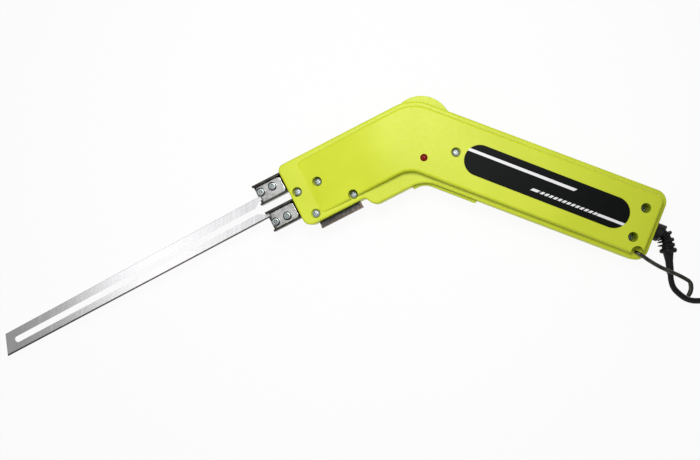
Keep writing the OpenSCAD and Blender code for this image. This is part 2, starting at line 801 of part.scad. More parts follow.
module dial() color(lime) on_handle() translate([dial_u, dial_v]) difference() {
  rod(dial_r, -dial_t / 2, dial_t / 2);
  rod(shaft_r + fit_gap, -dial_t, dial_t);
}
module potentiometer_shaft() color(zinc) on_handle() translate([dial_u, dial_v])
  rod(shaft_r, board_top + overrun, dial_t / 2);
module potentiometer_body() color(blue) on_handle() translate([dial_u, dial_v]) difference() {
  union() {
    slab(-pot_w / 2, pot_w / 2, -pot_w / 2, pot_w / 2, board_top, pot_top);
    rod(bushing_r, pot_top, -dial_t / 2 - slide_gap);
  }
  rod(shaft_r + fit_gap, board_top + overrun / 2, 0);
}
module on_board(box, low, high) on_handle()
  slab(box[0][0], box[1][0], box[0][1], box[1][1], low, high);
module circuit_board() color(board_green) on_board(board_box, board_low, board_top);
module triac() color(black) on_board(triac_box, board_top, board_top + triac_h);
module capacitor() color(amber) on_board(capacitor_box, board_top, board_top + capacitor_h);

module trigger() color(lime) on_handle() difference() {
  union() {
    translate([0, 0, -trigger_w / 2]) linear_extrude(trigger_w) polygon(rounded(trigger_corners));
    translate([pivot_u, pivot_v]) rod(eye_r, eye_low, eye_high);
  }
  translate([pivot_u, pivot_v]) {
    rod(pin_r + fit_gap, -trigger_w, trigger_w);
    rod(eye_r + slide_gap, eye_high, trigger_w);
    slab(-spring_leg - overrun, 0, -spring_r - spring_wire_r - slide_gap / 2, eye_r, eye_high,
         trigger_w);
  }
}
module trigger_pin() color(zinc) on_handle() translate([pivot_u, pivot_v]) rod(pin_r, -pin_half, pin_half);
module trigger_spring() color(zinc) on_handle() translate([pivot_u, pivot_v])
  tube(spring_path, spring_wire_r, coil_sides);

module switch_body() color(black) on_handle() difference() {
  slab(switch_rear - switch_l, switch_rear, switch_low, switch_low + switch_h, -switch_t / 2,
       switch_t / 2);
  for (x = switch_posts) translate([x, switch_post_v]) rod(switch_post_r + fit_gap, -switch_t, switch_t);
  translate([plunger_u, switch_low, 0]) rotate([-90, 0])
    rod(plunger_r + fit_gap, -overrun, plunger_in + plunger_room);
}
module switch_plunger() color(red) on_handle() translate([plunger_u, 0, 0]) rotate([-90, 0])
  rod(plunger_r, paddle_high + slide_gap, switch_low + plunger_in);

module transformer_core() color(dark_steel) on_nose() difference() {
  slab(-core_front, -core_rear, core_low, core_low + core_h, -core_t / 2, core_t / 2);
  for (side = [-1, 1]) translate([0, core_mid + side * (core_leg + window_h / 2)])
    slab(-core_front + core_leg, -core_rear - core_leg, -window_h / 2, window_h / 2, -core_t, core_t);
}
module transformer_coil() color(copper) on_nose() translate([0, core_mid]) difference() {
  slab(-coil_front, -coil_rear, -core_leg - window_h + coil_gap, core_leg + window_h - coil_gap,
       -coil_top, coil_top);
  slab(-core_front, -core_rear, -core_leg - coil_gap, core_leg + coil_gap,
       -core_t / 2 - coil_gap, core_t / 2 + coil_gap);
}

module busbar(side) on_nose() translate([0, clamp_centre(side)]) difference() {
  half = busbar_w / 2;
  union() {
    slab(-nose_l + wall + overrun, -core_front - busbar_t, -half, half, clamp_floor,
         clamp_floor + busbar_t);
    slab(-core_front - 2 * busbar_t, -core_front - busbar_t, -half, half, clamp_floor, busbar_top);
    slab(-core_front - 2 * busbar_t, -coil_front, -half, half, busbar_top - busbar_t, busbar_top);
  }
  translate([-busbar_bolt_u, 0]) rod(bolt_r + slide_gap / 2, -busbar_t * 2, busbar_t * 2);
}
module upper_busbar() color(copper) busbar(1);
module lower_busbar() color(copper) busbar(-1);
module busbar_screws() color(zinc) on_nose() for (side = [-1, 1])
  translate([-busbar_bolt_u, clamp_centre(side), clamp_floor + busbar_t])
    socket_screw(busbar_bolt_depth);
module socket_screw(length) difference() {
  union() {
    rod(bolt_r, -length, 0);
    rod(bolt_head_r, 0, bolt_head_h);
  }
  translate([0, 0, bolt_head_h - socket_h]) cylinder(r = socket_r, h = socket_h + overrun, $fn = 6);
}
module insulator_block() color(brown) on_nose() difference() {
  slab(-insulator_front, -insulator_front + insulator_l, insulator_low, insulator_high,
       -inner_ledge + slide_gap, clamp_floor - clamp_t);
  translate([nose_screw_ins[0] - nose_l, nose_screw_share * nose_v])
    rod(boss_r + slide_gap, -ledge_t, ledge_t);
  for (side = [-1, 1]) translate([-busbar_bolt_u, clamp_centre(side)])
    rod(bolt_r + fit_gap, clamp_floor + busbar_t - busbar_bolt_depth - slide_gap, 0);
}

module clamp_channel(side) color(dark_steel) on_nose() translate([0, clamp_centre(side)]) difference() {
  union() {
    slab(-clamp_front, -clamp_back, -clamp_h / 2, clamp_h / 2, clamp_floor - clamp_t, clamp_top);
    slab(-clamp_front, -clamp_back + tongue_l, -tongue_w / 2, tongue_w / 2, clamp_floor - clamp_t,
         clamp_floor);
  }
  slab(-clamp_front - overrun, -clamp_back + overrun / 2, -clamp_h / 2 + clamp_t,
       clamp_h / 2 - clamp_t, clamp_floor, clamp_top + overrun);
  for (s = [bolt_front_share, bolt_rear_share])
    translate([-bolt_u(s), side * (bolt_v - clamp_mid)])
      rod(bolt_r + slide_gap / 2, -clamp_depth, clamp_depth);
  translate([-busbar_bolt_u, 0]) rod(bolt_r + slide_gap / 2, -clamp_depth, clamp_depth);
}
module upper_clamp_channel() clamp_channel(1);
module lower_clamp_channel() clamp_channel(-1);
module clamp_plate(side) color(steel) on_nose()
translate([0, clamp_centre(side), blade_t / 2]) difference() {
  half = clamp_h / 2 - clamp_t - slide_gap;
  front = -clamp_front + plate_end_gap;
  rear = -clamp_back - plate_end_gap;
  linear_extrude(plate_t)
    polygon(rounded([
      [[front, -half], plate_front_r], [[rear, -half], plate_r],
      [[rear, half], plate_r], [[front, half], plate_front_r]]));
  for (s = [bolt_front_share, bolt_rear_share])
    translate([-bolt_u(s), side * (bolt_v - clamp_mid)])
      rod(bolt_r + slide_gap / 2, -overrun, plate_t + overrun);
}
module upper_clamp_plate() clamp_plate(1);
module lower_clamp_plate() clamp_plate(-1);
module at_clamp_bolts() on_nose() for (side = [-1, 1], s = [bolt_front_share, bolt_rear_share])
  translate([-bolt_u(s), clamp_v + side * bolt_v]) children();
module clamp_screws() color(zinc) at_clamp_bolts() translate([0, 0, blade_t / 2 + plate_t])
  socket_screw(blade_t + plate_t + clamp_t + nut_h);
module clamp_nuts() color(zinc) at_clamp_bolts() translate([0, 0, clamp_floor - clamp_t - nut_h])
  difference() {
    cylinder(r = nut_r, h = nut_h, $fn = 6);
    rod(bolt_r + fit_gap, -overrun, nut_h + overrun);
  }

module blade() color(steel) on_nose() translate([-clamp_front, blade_v, -blade_t / 2]) rotate(blade_skew)
  linear_extrude(blade_t) difference() {
    polygon(rounded([
      [[-blade_l, -blade_tip_w / 2], tip_r],
      [[0, -blade_root_w / 2], 0],
      [[tab_l, -blade_root_w / 2], 0],
      [[tab_l, blade_root_w / 2], 0],
      [[0, blade_root_w / 2], 0],
      [[-blade_l + tip_slant, blade_tip_w / 2], tip_r]]));
    translate([-slot_end, 0]) circle(slot_w / 2);
    polygon([
      [-slot_end, -slot_w / 2], [-tab_kink, -slot_w / 2], [-overrun, -tab_in],
      [tab_l + overrun, -tab_in], [tab_l + overrun, tab_in], [-overrun, tab_in],
      [-tab_kink, slot_w / 2], [-slot_end, slot_w / 2]]);
  }

module guide_rail() color(dark_steel) on_nose() difference() {
  union() {
    slab(-rail_front, -rail_rear, rail_low, -nose_v + rail_up, -rail_t / 2, rail_t / 2);
    slab(-rail_front - rail_tab_more, -rail_rear + rail_tab_more, -nose_v + wall + slide_gap,
         -nose_v + rail_up, -rail_t / 2, rail_t / 2);
    slab(-rail_front, -rail_rear, rail_low, rail_low + rail_t, -rail_t / 2, rail_lip);
    slab(-rail_rear - rail_t, -rail_rear, rail_low, -nose_v - slide_gap, -rail_t / 2, rail_lip);
  }
  for (u = rail_screw_us) translate([-u, rail_screw_share * nose_v])
    rod(screw_r + slide_gap, -rail_t, rail_t);
}

module hook() color(dark_steel) on_handle() translate([hook_u, hook_v]) {
  rod(hook_r, hook_pin_low, hook_level);
  translate([0, 0, hook_level]) rotate(hook_angle) {
    sphere(hook_r);
    rotate([0, 90]) rod(hook_r, 0, hook_l - hook_bend_r);
    translate([hook_l - hook_bend_r, -hook_bend_r]) rotate(90 - hook_turn) {
      rotate_extrude(angle = hook_turn) translate([hook_bend_r, 0]) circle(hook_r);
      translate([hook_bend_r, 0]) rotate([90, 0]) rod(hook_r, 0, hook_end - hook_bend_r);
      translate([hook_bend_r, hook_bend_r - hook_end]) sphere(hook_r);
    }
  }
}
module hook_clip() color(zinc) on_handle() translate([hook_u, hook_v]) difference() {
  rod(clip_r, clip_top - clip_t, clip_top);
  rod(hook_r + fit_gap / 2, 0, clip_top + overrun);
}

// The strain relief leaves the rear wall, bends down between its ribs and ends in a tapered tail
module strain_relief() color(black) {
  on_handle() translate([0, relief_v]) rotate([0, 90]) {
    rod(relief_flange_r, relief_in - relief_flange_t, relief_in);
    rod(relief_neck_r, relief_in - relief_flange_t, handle_l);
    rod(collar_r, handle_l, handle_l + collar_l);
  }
  at_mid() {
    translate(bend_centre) {
      rotate_extrude(angle = relief_start) translate([relief_bend_r, 0]) circle(core_r);
      for (a = bend_rib_turns) rotate(a) translate([relief_bend_r + bend_rib_out, 0]) rib(bend_rib_r);
    }
    translate(bend_end) rotate(relief_lean) {
      rotate([90, 0]) cylinder(r1 = tail_start_r, r2 = tail_end_r, h = relief_tail);
      for (d = tail_rib_drops) translate([0, -d]) rib(rib_r);
    }
  }
}
module rib(r) rotate([90, 0]) rod(r, -rib_t / 2, rib_t / 2);
module inner_cord() color(black) on_handle() translate([0, relief_v]) rotate([0, 90])
  rod(cord_d / 2, inner_cord_end, relief_in - relief_flange_t);
module cord_clamp() color(dark_steel) on_handle() difference() {
  slab(cord_clamp_u, cord_clamp_u + cord_clamp_w, relief_v - cord_clamp_l / 2, relief_v + cord_clamp_l / 2,
       cord_d / 2, cord_d / 2 + cord_clamp_t);
  at_cord_screws() rod(cord_screw_r + fit_gap, 0, half_t);
}
module at_cord_screws() for (side = [-1, 1])
  translate([cord_clamp_u + cord_clamp_w / 2, relief_v + side * cord_screw_gap]) children();
module cord_clamp_screws() color(zinc) on_handle() at_cord_screws()
  translate([0, 0, cord_d / 2 + cord_clamp_t])
  cross_screw(cord_screw_r, cord_screw_head_r, cord_screw_head_h, cord_screw_depth);

// Inner wires
module live_wire() color(brown) on_handle() tube(live_route, wire_r, wire_sides);
module neutral_wire() color(blue) on_handle() tube(neutral_route, wire_r, wire_sides);
module switch_wire() color(brown) on_handle() tube(switch_route, wire_r, wire_sides, [0, 1, 0]);
module primary_wires() color(red) on_nose() for (v = primary_places)
  translate([0, v]) tube(primary_route, wire_r, wire_sides, [0, 1, 0]);

module cord_lead() color(black) tube([for (p = lead_route) cord_exit + p], cord_d / 2, tube_sides);
module cord_coil() color(black) tube(coil_path, cord_d / 2, coil_sides);
module cord_tail() color(black) tube([for (p = tail_route) coil_end + p], cord_d / 2, tube_sides);
module cord_tie() color(dark_steel) {
  low_r = coil_out_r - loop_pitch * (layer_loops - tie_turn_share) - cord_d / 2 - tie_gap;
  high_r = coil_out_r - loop_pitch * tie_turn_share + cord_d / 2 + tie_gap;
  low = -cord_d / 2 - tie_gap;
  high = layer_pitch * (layers - 1) + cord_d / 2 + tie_gap;
  translate(coil_centre) difference() {
    slab(-tie_w / 2, tie_w / 2, low_r - tie_t, high_r + tie_t, low - tie_t, high + tie_t);
    slab(-tie_w, tie_w, low_r, high_r, low, high);
  }
}
module plug_body() color(black) translate(plug_at) {
  rotate([-90, 0]) cylinder(r1 = plug_neck_tip_r, r2 = plug_neck_r, h = plug_neck_l);
  translate([0, plug_neck_l, -plug_t / 2]) linear_extrude(plug_t) polygon(rounded([
    [[-plug_back_w / 2, 0], plug_r], [[plug_back_w / 2, 0], plug_r],
    [[plug_w / 2, plug_shoulder], plug_r], [[plug_w / 2, plug_l], plug_face_r],
    [[-plug_w / 2, plug_l], plug_face_r], [[-plug_w / 2, plug_shoulder], plug_r]]));
}
module plug_pins() color(zinc) translate(plug_at) for (side = [-1, 1])
  translate([side * plug_pin_gap / 2, 0]) rotate([-90, 0])
    rod(plug_pin_r, plug_neck_l + plug_l, plug_neck_l + plug_l + plug_pin_l);

echo(least_loop_gap = min(loop_gaps()));  // cord_coil
housing_left();
housing_right();
housing_screws();
label_plate();
led_lens();
led_leads();
dial();
potentiometer_shaft();
potentiometer_body();
circuit_board();
triac();
capacitor();
trigger();
trigger_pin();
trigger_spring();
switch_body();
switch_plunger();
transformer_core();
transformer_coil();
upper_busbar();
lower_busbar();
busbar_screws();
insulator_block();
upper_clamp_channel();
lower_clamp_channel();
upper_clamp_plate();
lower_clamp_plate();
clamp_screws();
clamp_nuts();
blade();
guide_rail();
hook();
hook_clip();
strain_relief();
inner_cord();
cord_clamp();
cord_clamp_screws();
live_wire();
neutral_wire();
switch_wire();
primary_wires();
cord_lead();
cord_coil();
cord_tail();
cord_tie();
plug_body();
plug_pins();
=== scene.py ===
import math
import bmesh
import bpy
from mathutils import Matrix, Vector


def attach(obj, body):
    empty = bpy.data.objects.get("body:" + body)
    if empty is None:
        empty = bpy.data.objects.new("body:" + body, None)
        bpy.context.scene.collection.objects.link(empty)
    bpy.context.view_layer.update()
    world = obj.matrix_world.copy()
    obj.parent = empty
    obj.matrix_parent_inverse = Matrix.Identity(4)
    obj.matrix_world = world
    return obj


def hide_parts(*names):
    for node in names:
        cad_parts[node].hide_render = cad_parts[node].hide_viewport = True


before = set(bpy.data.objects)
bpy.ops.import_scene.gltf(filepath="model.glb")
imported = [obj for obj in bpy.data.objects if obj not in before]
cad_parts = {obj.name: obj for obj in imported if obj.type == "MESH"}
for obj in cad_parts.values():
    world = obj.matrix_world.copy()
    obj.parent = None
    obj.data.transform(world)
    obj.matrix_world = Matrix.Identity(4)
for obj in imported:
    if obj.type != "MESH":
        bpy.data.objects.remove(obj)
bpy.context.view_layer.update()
scene = bpy.context.scene
scene.view_settings.view_transform = "Standard"

# Sizes in millimetres; heights are counted from the joint between the two housing halves
NOSE_ANGLE, HANDLE_ANGLE, MID = 27.0, 21.0, 20.0
NOSE_L, NOSE_V, GUARD_V = 91.5, 23.2, 30.8
HANDLE_L, HANDLE_V = 176.0, 24.75
LEDGE_T, HALF_T, LEDGE_W, WALL = 12.0, 20.0, 3.5, 2.4
SLOPE_START, SLOPE_END = 24.7, 79.6
SLOPE_BLEND = 14.0
CLAMP_FRONT = -113.1
BLADE_AT, BLADE_TILT = Vector((CLAMP_FRONT, 3.6)), 0.9
BLADE_L, BLADE_BACK_L, BLADE_HALF_T = 210, 204.3, 0.6
BLADE_ROOT_V, BLADE_TIP_V = 8.2, 7.35
LABEL_TILT = 0.4
CLAMPS = (("upper", 12.3), ("lower", -7.9))
SHEET_LOW, PAD_TOP = -2.0, 3.0
CLAMP_SPOTS = ((109.64, 13.7), (100.57, 13.7), (109.64, -9.3), (100.57, -9.3))
RAIL_SCREW_US, RAIL_SCREW_V = (81.44, 52.70), -17.52
RELIEF_V = -1.2
MM = 0.001


def spun(degrees, axis="Z", size=4):
    return Matrix.Rotation(math.radians(degrees), size, axis)


TURN_NOSE, TURN_HANDLE = spun(NOSE_ANGLE), spun(-HANDLE_ANGLE)
IN_METRES = Matrix.Scale(MM, 4) @ Matrix.Translation((0, 0, MID))
ON_NOSE, ON_HANDLE = IN_METRES @ TURN_NOSE, IN_METRES @ TURN_HANDLE


def aimed(degrees):
    """The unit vector in the plan at an angle from the right."""
    return Vector((math.cos(math.radians(degrees)), math.sin(math.radians(degrees)), 0))


def nose(u, v):
    """A place counted from the elbow, u along the nose and v across it."""
    c, s = math.cos(math.radians(NOSE_ANGLE)), math.sin(math.radians(NOSE_ANGLE))
    return Vector((-u * c - v * s, -u * s + v * c))


def handle(u, v):
    """A place counted from the elbow, u along the handle and v across it."""
    c, s = math.cos(math.radians(HANDLE_ANGLE)), math.sin(math.radians(HANDLE_ANGLE))
    return Vector((u * c + v * s, -u * s + v * c))


def meet(nose_v, handle_v):
    """Where a line along the nose crosses a line along the handle."""
    n, h = math.radians(NOSE_ANGLE), math.radians(HANDLE_ANGLE)
    turn = -math.sin(n + h)
    return Vector(((nose_v * math.cos(h) - handle_v * math.cos(n)) / turn,
                   (-math.sin(n) * handle_v - math.sin(h) * nose_v) / turn))


# Camera and lights; the focal length is in picture points
PICTURE_W, FOCAL, SENSOR_W = 700.0, 1200.0, 36.0
CAMERA_AT, CAMERA_LEAN = (0.02282, -0.06376, 0.84668), 4.5


def place_camera():
    lens = bpy.data.cameras.new("camera")
    lens.sensor_width = SENSOR_W
    lens.lens = FOCAL / PICTURE_W * SENSOR_W
    camera = bpy.data.objects.new("camera", lens)
    camera.location = CAMERA_AT
    camera.rotation_euler = (0.0, math.radians(CAMERA_LEAN), 0.0)
    scene.collection.objects.link(camera)
    scene.camera = camera


def place_lamp(name, kind, at, aim, watts, **settings):
    light = bpy.data.lights.new(name, kind)
    light.energy = watts
    for key, value in settings.items():
        setattr(light, key, value)
    lamp = bpy.data.objects.new(name, light)
    lamp.location = at
    lamp.rotation_euler = (Vector(aim) - Vector(at)).to_track_quat("-Z", "Y").to_euler()
    scene.collection.objects.link(lamp)


# Sockets of the Mix node for colours, by number, because their names repeat
MIX_SHARE, MIX_FIRST, MIX_SECOND, MIX_OUT = 0, 6, 7, 2


# Shader maths: a wire wraps a socket, and its operators add Math nodes
class Wire:
    def __init__(self, finish, socket):
        self.finish, self.socket = finish, socket

    def maths(self, operation, *values):
        return self.finish.node("ShaderNodeMath", {"operation": operation}, dict(enumerate(values)))

    def __add__(self, other): return self.maths("ADD", self, other)
    def __radd__(self, other): return self.maths("ADD", other, self)
    def __sub__(self, other): return self.maths("SUBTRACT", self, other)
    def __rsub__(self, other): return self.maths("SUBTRACT", other, self)
    def __mul__(self, other): return self.maths("MULTIPLY", self, other)
    def __rmul__(self, other): return self.maths("MULTIPLY", other, self)
    def __truediv__(self, other): return self.maths("DIVIDE", self, other)
    def __gt__(self, other): return self.maths("GREATER_THAN", self, other)
    def __lt__(self, other): return self.maths("LESS_THAN", self, other)
    def __abs__(self): return self.maths("ABSOLUTE", self)
    def fraction(self): return self.maths("FRACT", self)
    def at_least(self, other): return self.maths("MAXIMUM", self, other)
    def at_most(self, other): return self.maths("MINIMUM", self, other)

    def ramp(self, low, high):
        """0 below low, 1 above high, and smooth between."""
        return self.finish.node("ShaderNodeMapRange", {"interpolation_type": "SMOOTHSTEP"},
                                {"Value": self, "From Min": low, "From Max": high}, "Result")


class Finish:
    """A material, with methods that add nodes to it."""
    def __init__(self, name, **constants):
        self.material = bpy.data.materials.new(name)
        self.material.use_nodes = True
        self.tree = self.material.node_tree
        self.shader = self.tree.nodes["Principled BSDF"]
        for socket, value in constants.items():
            self.shader.inputs[socket.replace("_", " ")].default_value = value

    def node(self, kind, settings=None, sockets=None, out=0):
        made = self.tree.nodes.new(kind)
        for key, value in (settings or {}).items():
            setattr(made, key, value)
        for key, value in (sockets or {}).items():
            if isinstance(value, Wire):
                self.tree.links.new(value.socket, made.inputs[key])
            else:
                made.inputs[key].default_value = value
        return Wire(self, made.outputs[out])

    def place(self, turn=0.0, stretch=(1, 1, 1)):
        """Object coordinates in millimetres, turned about the vertical."""
        spot = self.node("ShaderNodeTexCoord", out="Object")
        spot = self.node("ShaderNodeMapping", {},
                         {"Vector": spot, "Rotation": (0, 0, math.radians(turn)), "Scale": (1000, 1000, 1000)})
        return self.node("ShaderNodeVectorMath", {"operation": "MULTIPLY"}, {0: spot, 1: stretch})

    def split(self, spot):
        made = self.tree.nodes.new("ShaderNodeSeparateXYZ")
        self.tree.links.new(spot.socket, made.inputs[0])
        return [Wire(self, made.outputs[i]) for i in range(3)]

    def noise(self, spot, scale, detail=3.0, rough=0.5):
        return self.node("ShaderNodeTexNoise", {},
                         {"Vector": spot, "Scale": scale, "Detail": detail, "Roughness": rough}, "Fac")

    def mix(self, share, first, second):
        first, second = [(*c, 1) if isinstance(c, tuple) else c for c in (first, second)]
        made = self.tree.nodes.new("ShaderNodeMix")
        made.data_type = "RGBA"
        for index, value in ((MIX_SHARE, share), (MIX_FIRST, first), (MIX_SECOND, second)):
            if isinstance(value, Wire):
                self.tree.links.new(value.socket, made.inputs[index])
            else:
                made.inputs[index].default_value = value
        return Wire(self, made.outputs[MIX_OUT])

    def bump(self, height, depth, strength=1.0):
        return self.node("ShaderNodeBump", {}, {"Height": height, "Distance": depth, "Strength": strength})

    def feed(self, **wires):
        for socket, wire in wires.items():
            self.tree.links.new(wire.socket, self.shader.inputs[socket.replace("_", " ")])
        return self.material


def lime_plastic():
    f = Finish("lime_plastic", Specular_IOR_Level=0.25)
    spot = f.place()
    cloud = f.noise(spot, 0.02, 3.0)
    speck = f.noise(spot, 0.35, 4.0)
    grain = f.noise(spot, 2.6, 2.0)
    colour = f.mix(cloud.ramp(0.3, 0.7), (0.590, 0.670, 0.021), (0.650, 0.735, 0.034))
    colour = f.mix(speck.ramp(0.62, 0.8) * 0.35, colour, (0.735, 0.800, 0.095))
    return f.feed(Base_Color=colour, Roughness=0.34 + 0.16 * speck,
                  Normal=f.bump(grain, 0.00002, 0.25))


def brushed_blade():
    """Bright steel with upright brush marks and streaks, duller at the root, with painted shade that darkens
    it towards the tip.

    Painted shade darkens the ground lower edge, and a thin grey line of painted shade runs along the back."""
    f = Finish("brushed_blade", Metallic=1.0)
    turn = -NOSE_ANGLE - BLADE_TILT
    along, across, _ = f.split(f.place(turn))
    marks = f.noise(f.place(0.0, (1.0, 0.04, 1.0)), 0.9, 2.0)
    streaks = f.noise(f.place(0.0, (1.0, 0.015, 1.0)), 0.7, 1.0)
    broad = f.noise(f.place(turn, (1.0, 0.05, 1.0)), 0.06, 2.0)
    root = Matrix.Rotation(math.radians(-BLADE_TILT), 2) @ BLADE_AT
    away = root.x - along
    half_width = BLADE_ROOT_V - away * (BLADE_ROOT_V - BLADE_TIP_V) / BLADE_L
    ground = across - root.y + half_width
    back = half_width - across + root.y
    # Painted shade: the blade grows darker towards the tip, where its reflection dims
    painted_tip_shade = away.ramp(110.0, 205.0)
    colour = f.mix(marks.ramp(0.3, 0.72), (0.77, 0.77, 0.785), (0.83, 0.83, 0.84))
    colour = f.mix((1.0 - away.ramp(0.0, 22.0)) * 0.35, colour, (0.45, 0.45, 0.46))
    colour = f.mix(painted_tip_shade * 0.5, colour, (0.40, 0.40, 0.385))
    colour = f.mix(streaks.ramp(0.60, 0.70) * 0.6, colour, (0.92, 0.92, 0.94))
    colour = f.mix(broad.ramp(0.55, 0.8) * 0.15, colour, (0.50, 0.50, 0.52))
    # Painted shade: a thin grey line along the back edge
    colour = f.mix((back < 0.26) * 0.7, colour, (0.22, 0.22, 0.23))
    # Painted shade: a dark band along the ground lower edge
    colour = f.mix(ground < 1.1, colour, (0.115, 0.095, 0.095))
    return f.feed(Base_Color=colour, Roughness=0.22 + 0.04 * marks,
                  Normal=f.bump(marks, 0.00002, 0.015))


def plated(name, low, high, rough, metal=1.0):
    """Plated or rolled metal with a mottled surface and fine scratches."""
    f = Finish(name, Metallic=metal)
    cloud = f.noise(f.place(), 0.25, 3.0)
    scratch = f.noise(f.place(38.0, (1.0, 0.07, 1.0)), 3.0, 4.0, 0.65)
    colour = f.mix(cloud.ramp(0.3, 0.7), low, high)
    return f.feed(Base_Color=colour, Roughness=rough + 0.18 * scratch,
                  Normal=f.bump(scratch, 0.00002, 0.2))


def rusted_steel():
    """Dark steel with rust spots and a browned lip."""
    f = Finish("rail_steel", Metallic=0.8)
    spot = f.place()
    cloud, spots = f.noise(spot, 0.35, 4.0), f.noise(spot, 0.8, 5.0, 0.65)
    rust = (spots * 0.7 + cloud * 0.3).ramp(0.56, 0.68)
    colour = f.mix(cloud.ramp(0.35, 0.7), (0.040, 0.040, 0.037), (0.086, 0.085, 0.079))
    colour = f.mix(rust * 0.55, colour, (0.135, 0.060, 0.028))
    colour = f.mix((f.split(spot)[2] > MID + 5.5) * 0.6, colour, (0.085, 0.050, 0.032))
    return f.feed(Base_Color=colour, Roughness=0.26 + 0.4 * rust, Metallic=0.85 - 0.6 * rust,
                  Normal=f.bump(spots, 0.00006, 0.3))


def moulded(name, low, high, rough, grain=1.6, depth=0.00003):
    """Moulded plastic or rubber with a fine grain."""
    f = Finish(name, Specular_IOR_Level=0.25)
    spot = f.place()
    cloud, fine = f.noise(spot, 0.09, 3.0), f.noise(spot, grain, 3.0)
    return f.feed(Base_Color=f.mix(cloud.ramp(0.3, 0.72), low, high), Roughness=rough + 0.2 * fine,
                  Normal=f.bump(fine, depth, 0.35))


def printed_label():
    """Black film with a plain line above and a row of slanted dashes below."""
    f = Finish("printed_label", Specular_IOR_Level=0.06)
    spot = f.place(turn=HANDLE_ANGLE + LABEL_TILT)
    along, up, _ = f.split(spot)
    slant = along - up * 0.9
    fine = f.noise(spot, 1.2, 3.0)
    line = (abs(up - 5.3) < 1.0) * (slant < 111.0)
    dash = ((slant / 3.1).fraction() < 0.66) * (slant > 98.0) * (slant < 139.0)
    solid = (slant > 92.6) * (slant < 97.4) + (slant > 139.0)
    row = (abs(up + 4.5) < 0.9) * (dash + solid).at_most(1.0)
    print_share = (line + row).at_most(1.0)
    dusty = f.mix(fine.ramp(0.35, 0.75), (0.0020, 0.0026, 0.0025), (0.0046, 0.0056, 0.0053))
    colour = f.mix(print_share, dusty, (0.86, 0.86, 0.88))
    return f.feed(Base_Color=colour, Roughness=0.36 + 0.16 * fine, Normal=f.bump(fine, 0.00001, 0.2))


def lamp_red():
    f = Finish("lamp_red", Specular_IOR_Level=0.3)
    depth = f.noise(f.place(), 0.8, 2.0)
    colour = f.mix(depth.ramp(0.3, 0.7), (0.160, 0.001, 0.002), (0.260, 0.002, 0.003))
    return f.feed(Base_Color=colour, Roughness=0.05 + 0.06 * depth)


def cord_rubber():
    f = Finish("cord_rubber", Specular_IOR_Level=0.25)
    spot = f.place()
    fine, cloud = f.noise(spot, 2.2, 3.0), f.noise(spot, 0.1, 2.0)
    colour = f.mix(cloud.ramp(0.3, 0.7), (0.0065, 0.0068, 0.0072), (0.0150, 0.0155, 0.0165))
    return f.feed(Base_Color=colour, Roughness=0.45 + 0.2 * fine, Normal=f.bump(fine, 0.00003, 0.35))


def studio_floor():
    """A pale floor that looks nearly white to the camera and keeps its shadow."""
    f = Finish("studio_floor")
    spot = f.place()
    cloud = f.noise(spot, 0.004, 2.0)
    f.feed(Base_Color=f.mix(cloud, (0.86, 0.86, 0.86), (0.90, 0.90, 0.90)), Roughness=0.7 + 0.1 * cloud)
    path = f.tree.nodes.new("ShaderNodeLightPath")
    seen = Wire(f, path.outputs["Is Camera Ray"])
    seen = seen.at_least(Wire(f, path.outputs["Is Glossy Ray"]))
    seen = seen.at_least(Wire(f, path.outputs["Is Transmission Ray"]))
    white = f.tree.nodes.new("ShaderNodeEmission")
    both = f.tree.nodes.new("ShaderNodeMixShader")
    output = f.tree.nodes["Material Output"]
    f.tree.links.new((seen * 0.93).socket, both.inputs[0])
    f.tree.links.new(f.shader.outputs[0], both.inputs[1])
    f.tree.links.new(white.outputs[0], both.inputs[2])
    f.tree.links.new(both.outputs[0], output.inputs[0])
    return f.material


def studio_world():
    world = bpy.data.worlds.new("studio")
    world.use_nodes = True
    world.node_tree.nodes["Background"].inputs[0].default_value = (1, 1, 1, 1)
    world.node_tree.nodes["Background"].inputs[1].default_value = 0.40
    scene.world = world


LIME = lime_plastic()
BLADE = brushed_blade()
ZINC = plated("zinc_plate", (0.19, 0.21, 0.21), (0.29, 0.32, 0.32), 0.21)
SCREW_ZINC = plated("screw_zinc", (0.30, 0.34, 0.35), (0.42, 0.47, 0.48), 0.28, 0.6)
DARK_STEEL = plated("dark_steel", (0.045, 0.047, 0.038), (0.100, 0.103, 0.086), 0.22)
CLAMP_STEEL = plated("clamp_steel", (0.025, 0.024, 0.019), (0.052, 0.049, 0.040), 0.2)
PLATE_STEEL = plated("plate_steel", (0.25, 0.25, 0.245), (0.38, 0.38, 0.37), 0.18)
COPPER = plated("copper", (0.62, 0.26, 0.11), (0.80, 0.40, 0.20), 0.25)
IRON = plated("core_iron", (0.06, 0.06, 0.065), (0.12, 0.12, 0.13), 0.4)
PIN_METAL = plated("pin_metal", (0.52, 0.48, 0.38), (0.70, 0.67, 0.58), 0.2)
RAIL = rusted_steel()
BLACK = moulded("black_plastic", (0.0070, 0.0072, 0.0078), (0.0160, 0.0165, 0.0175), 0.35)
RUBBER = moulded("relief_rubber", (0.0050, 0.0052, 0.0056), (0.0125, 0.0130, 0.0135), 0.42)
TIE = moulded("tie_wrap", (0.012, 0.012, 0.013), (0.024, 0.024, 0.026), 0.4)
BROWN = moulded("resin_board", (0.085, 0.033, 0.012), (0.130, 0.055, 0.022), 0.45)
BOARD = moulded("board_green", (0.010, 0.085, 0.030), (0.018, 0.120, 0.045), 0.35)
AMBER = moulded("capacitor_amber", (0.42, 0.19, 0.012), (0.50, 0.25, 0.02), 0.25)
BLUE = moulded("part_blue", (0.012, 0.050, 0.35), (0.020, 0.075, 0.45), 0.3)
RED = moulded("part_red", (0.35, 0.012, 0.010), (0.45, 0.020, 0.015), 0.3)
LABEL = printed_label()
LAMP = lamp_red()
CORD = cord_rubber()


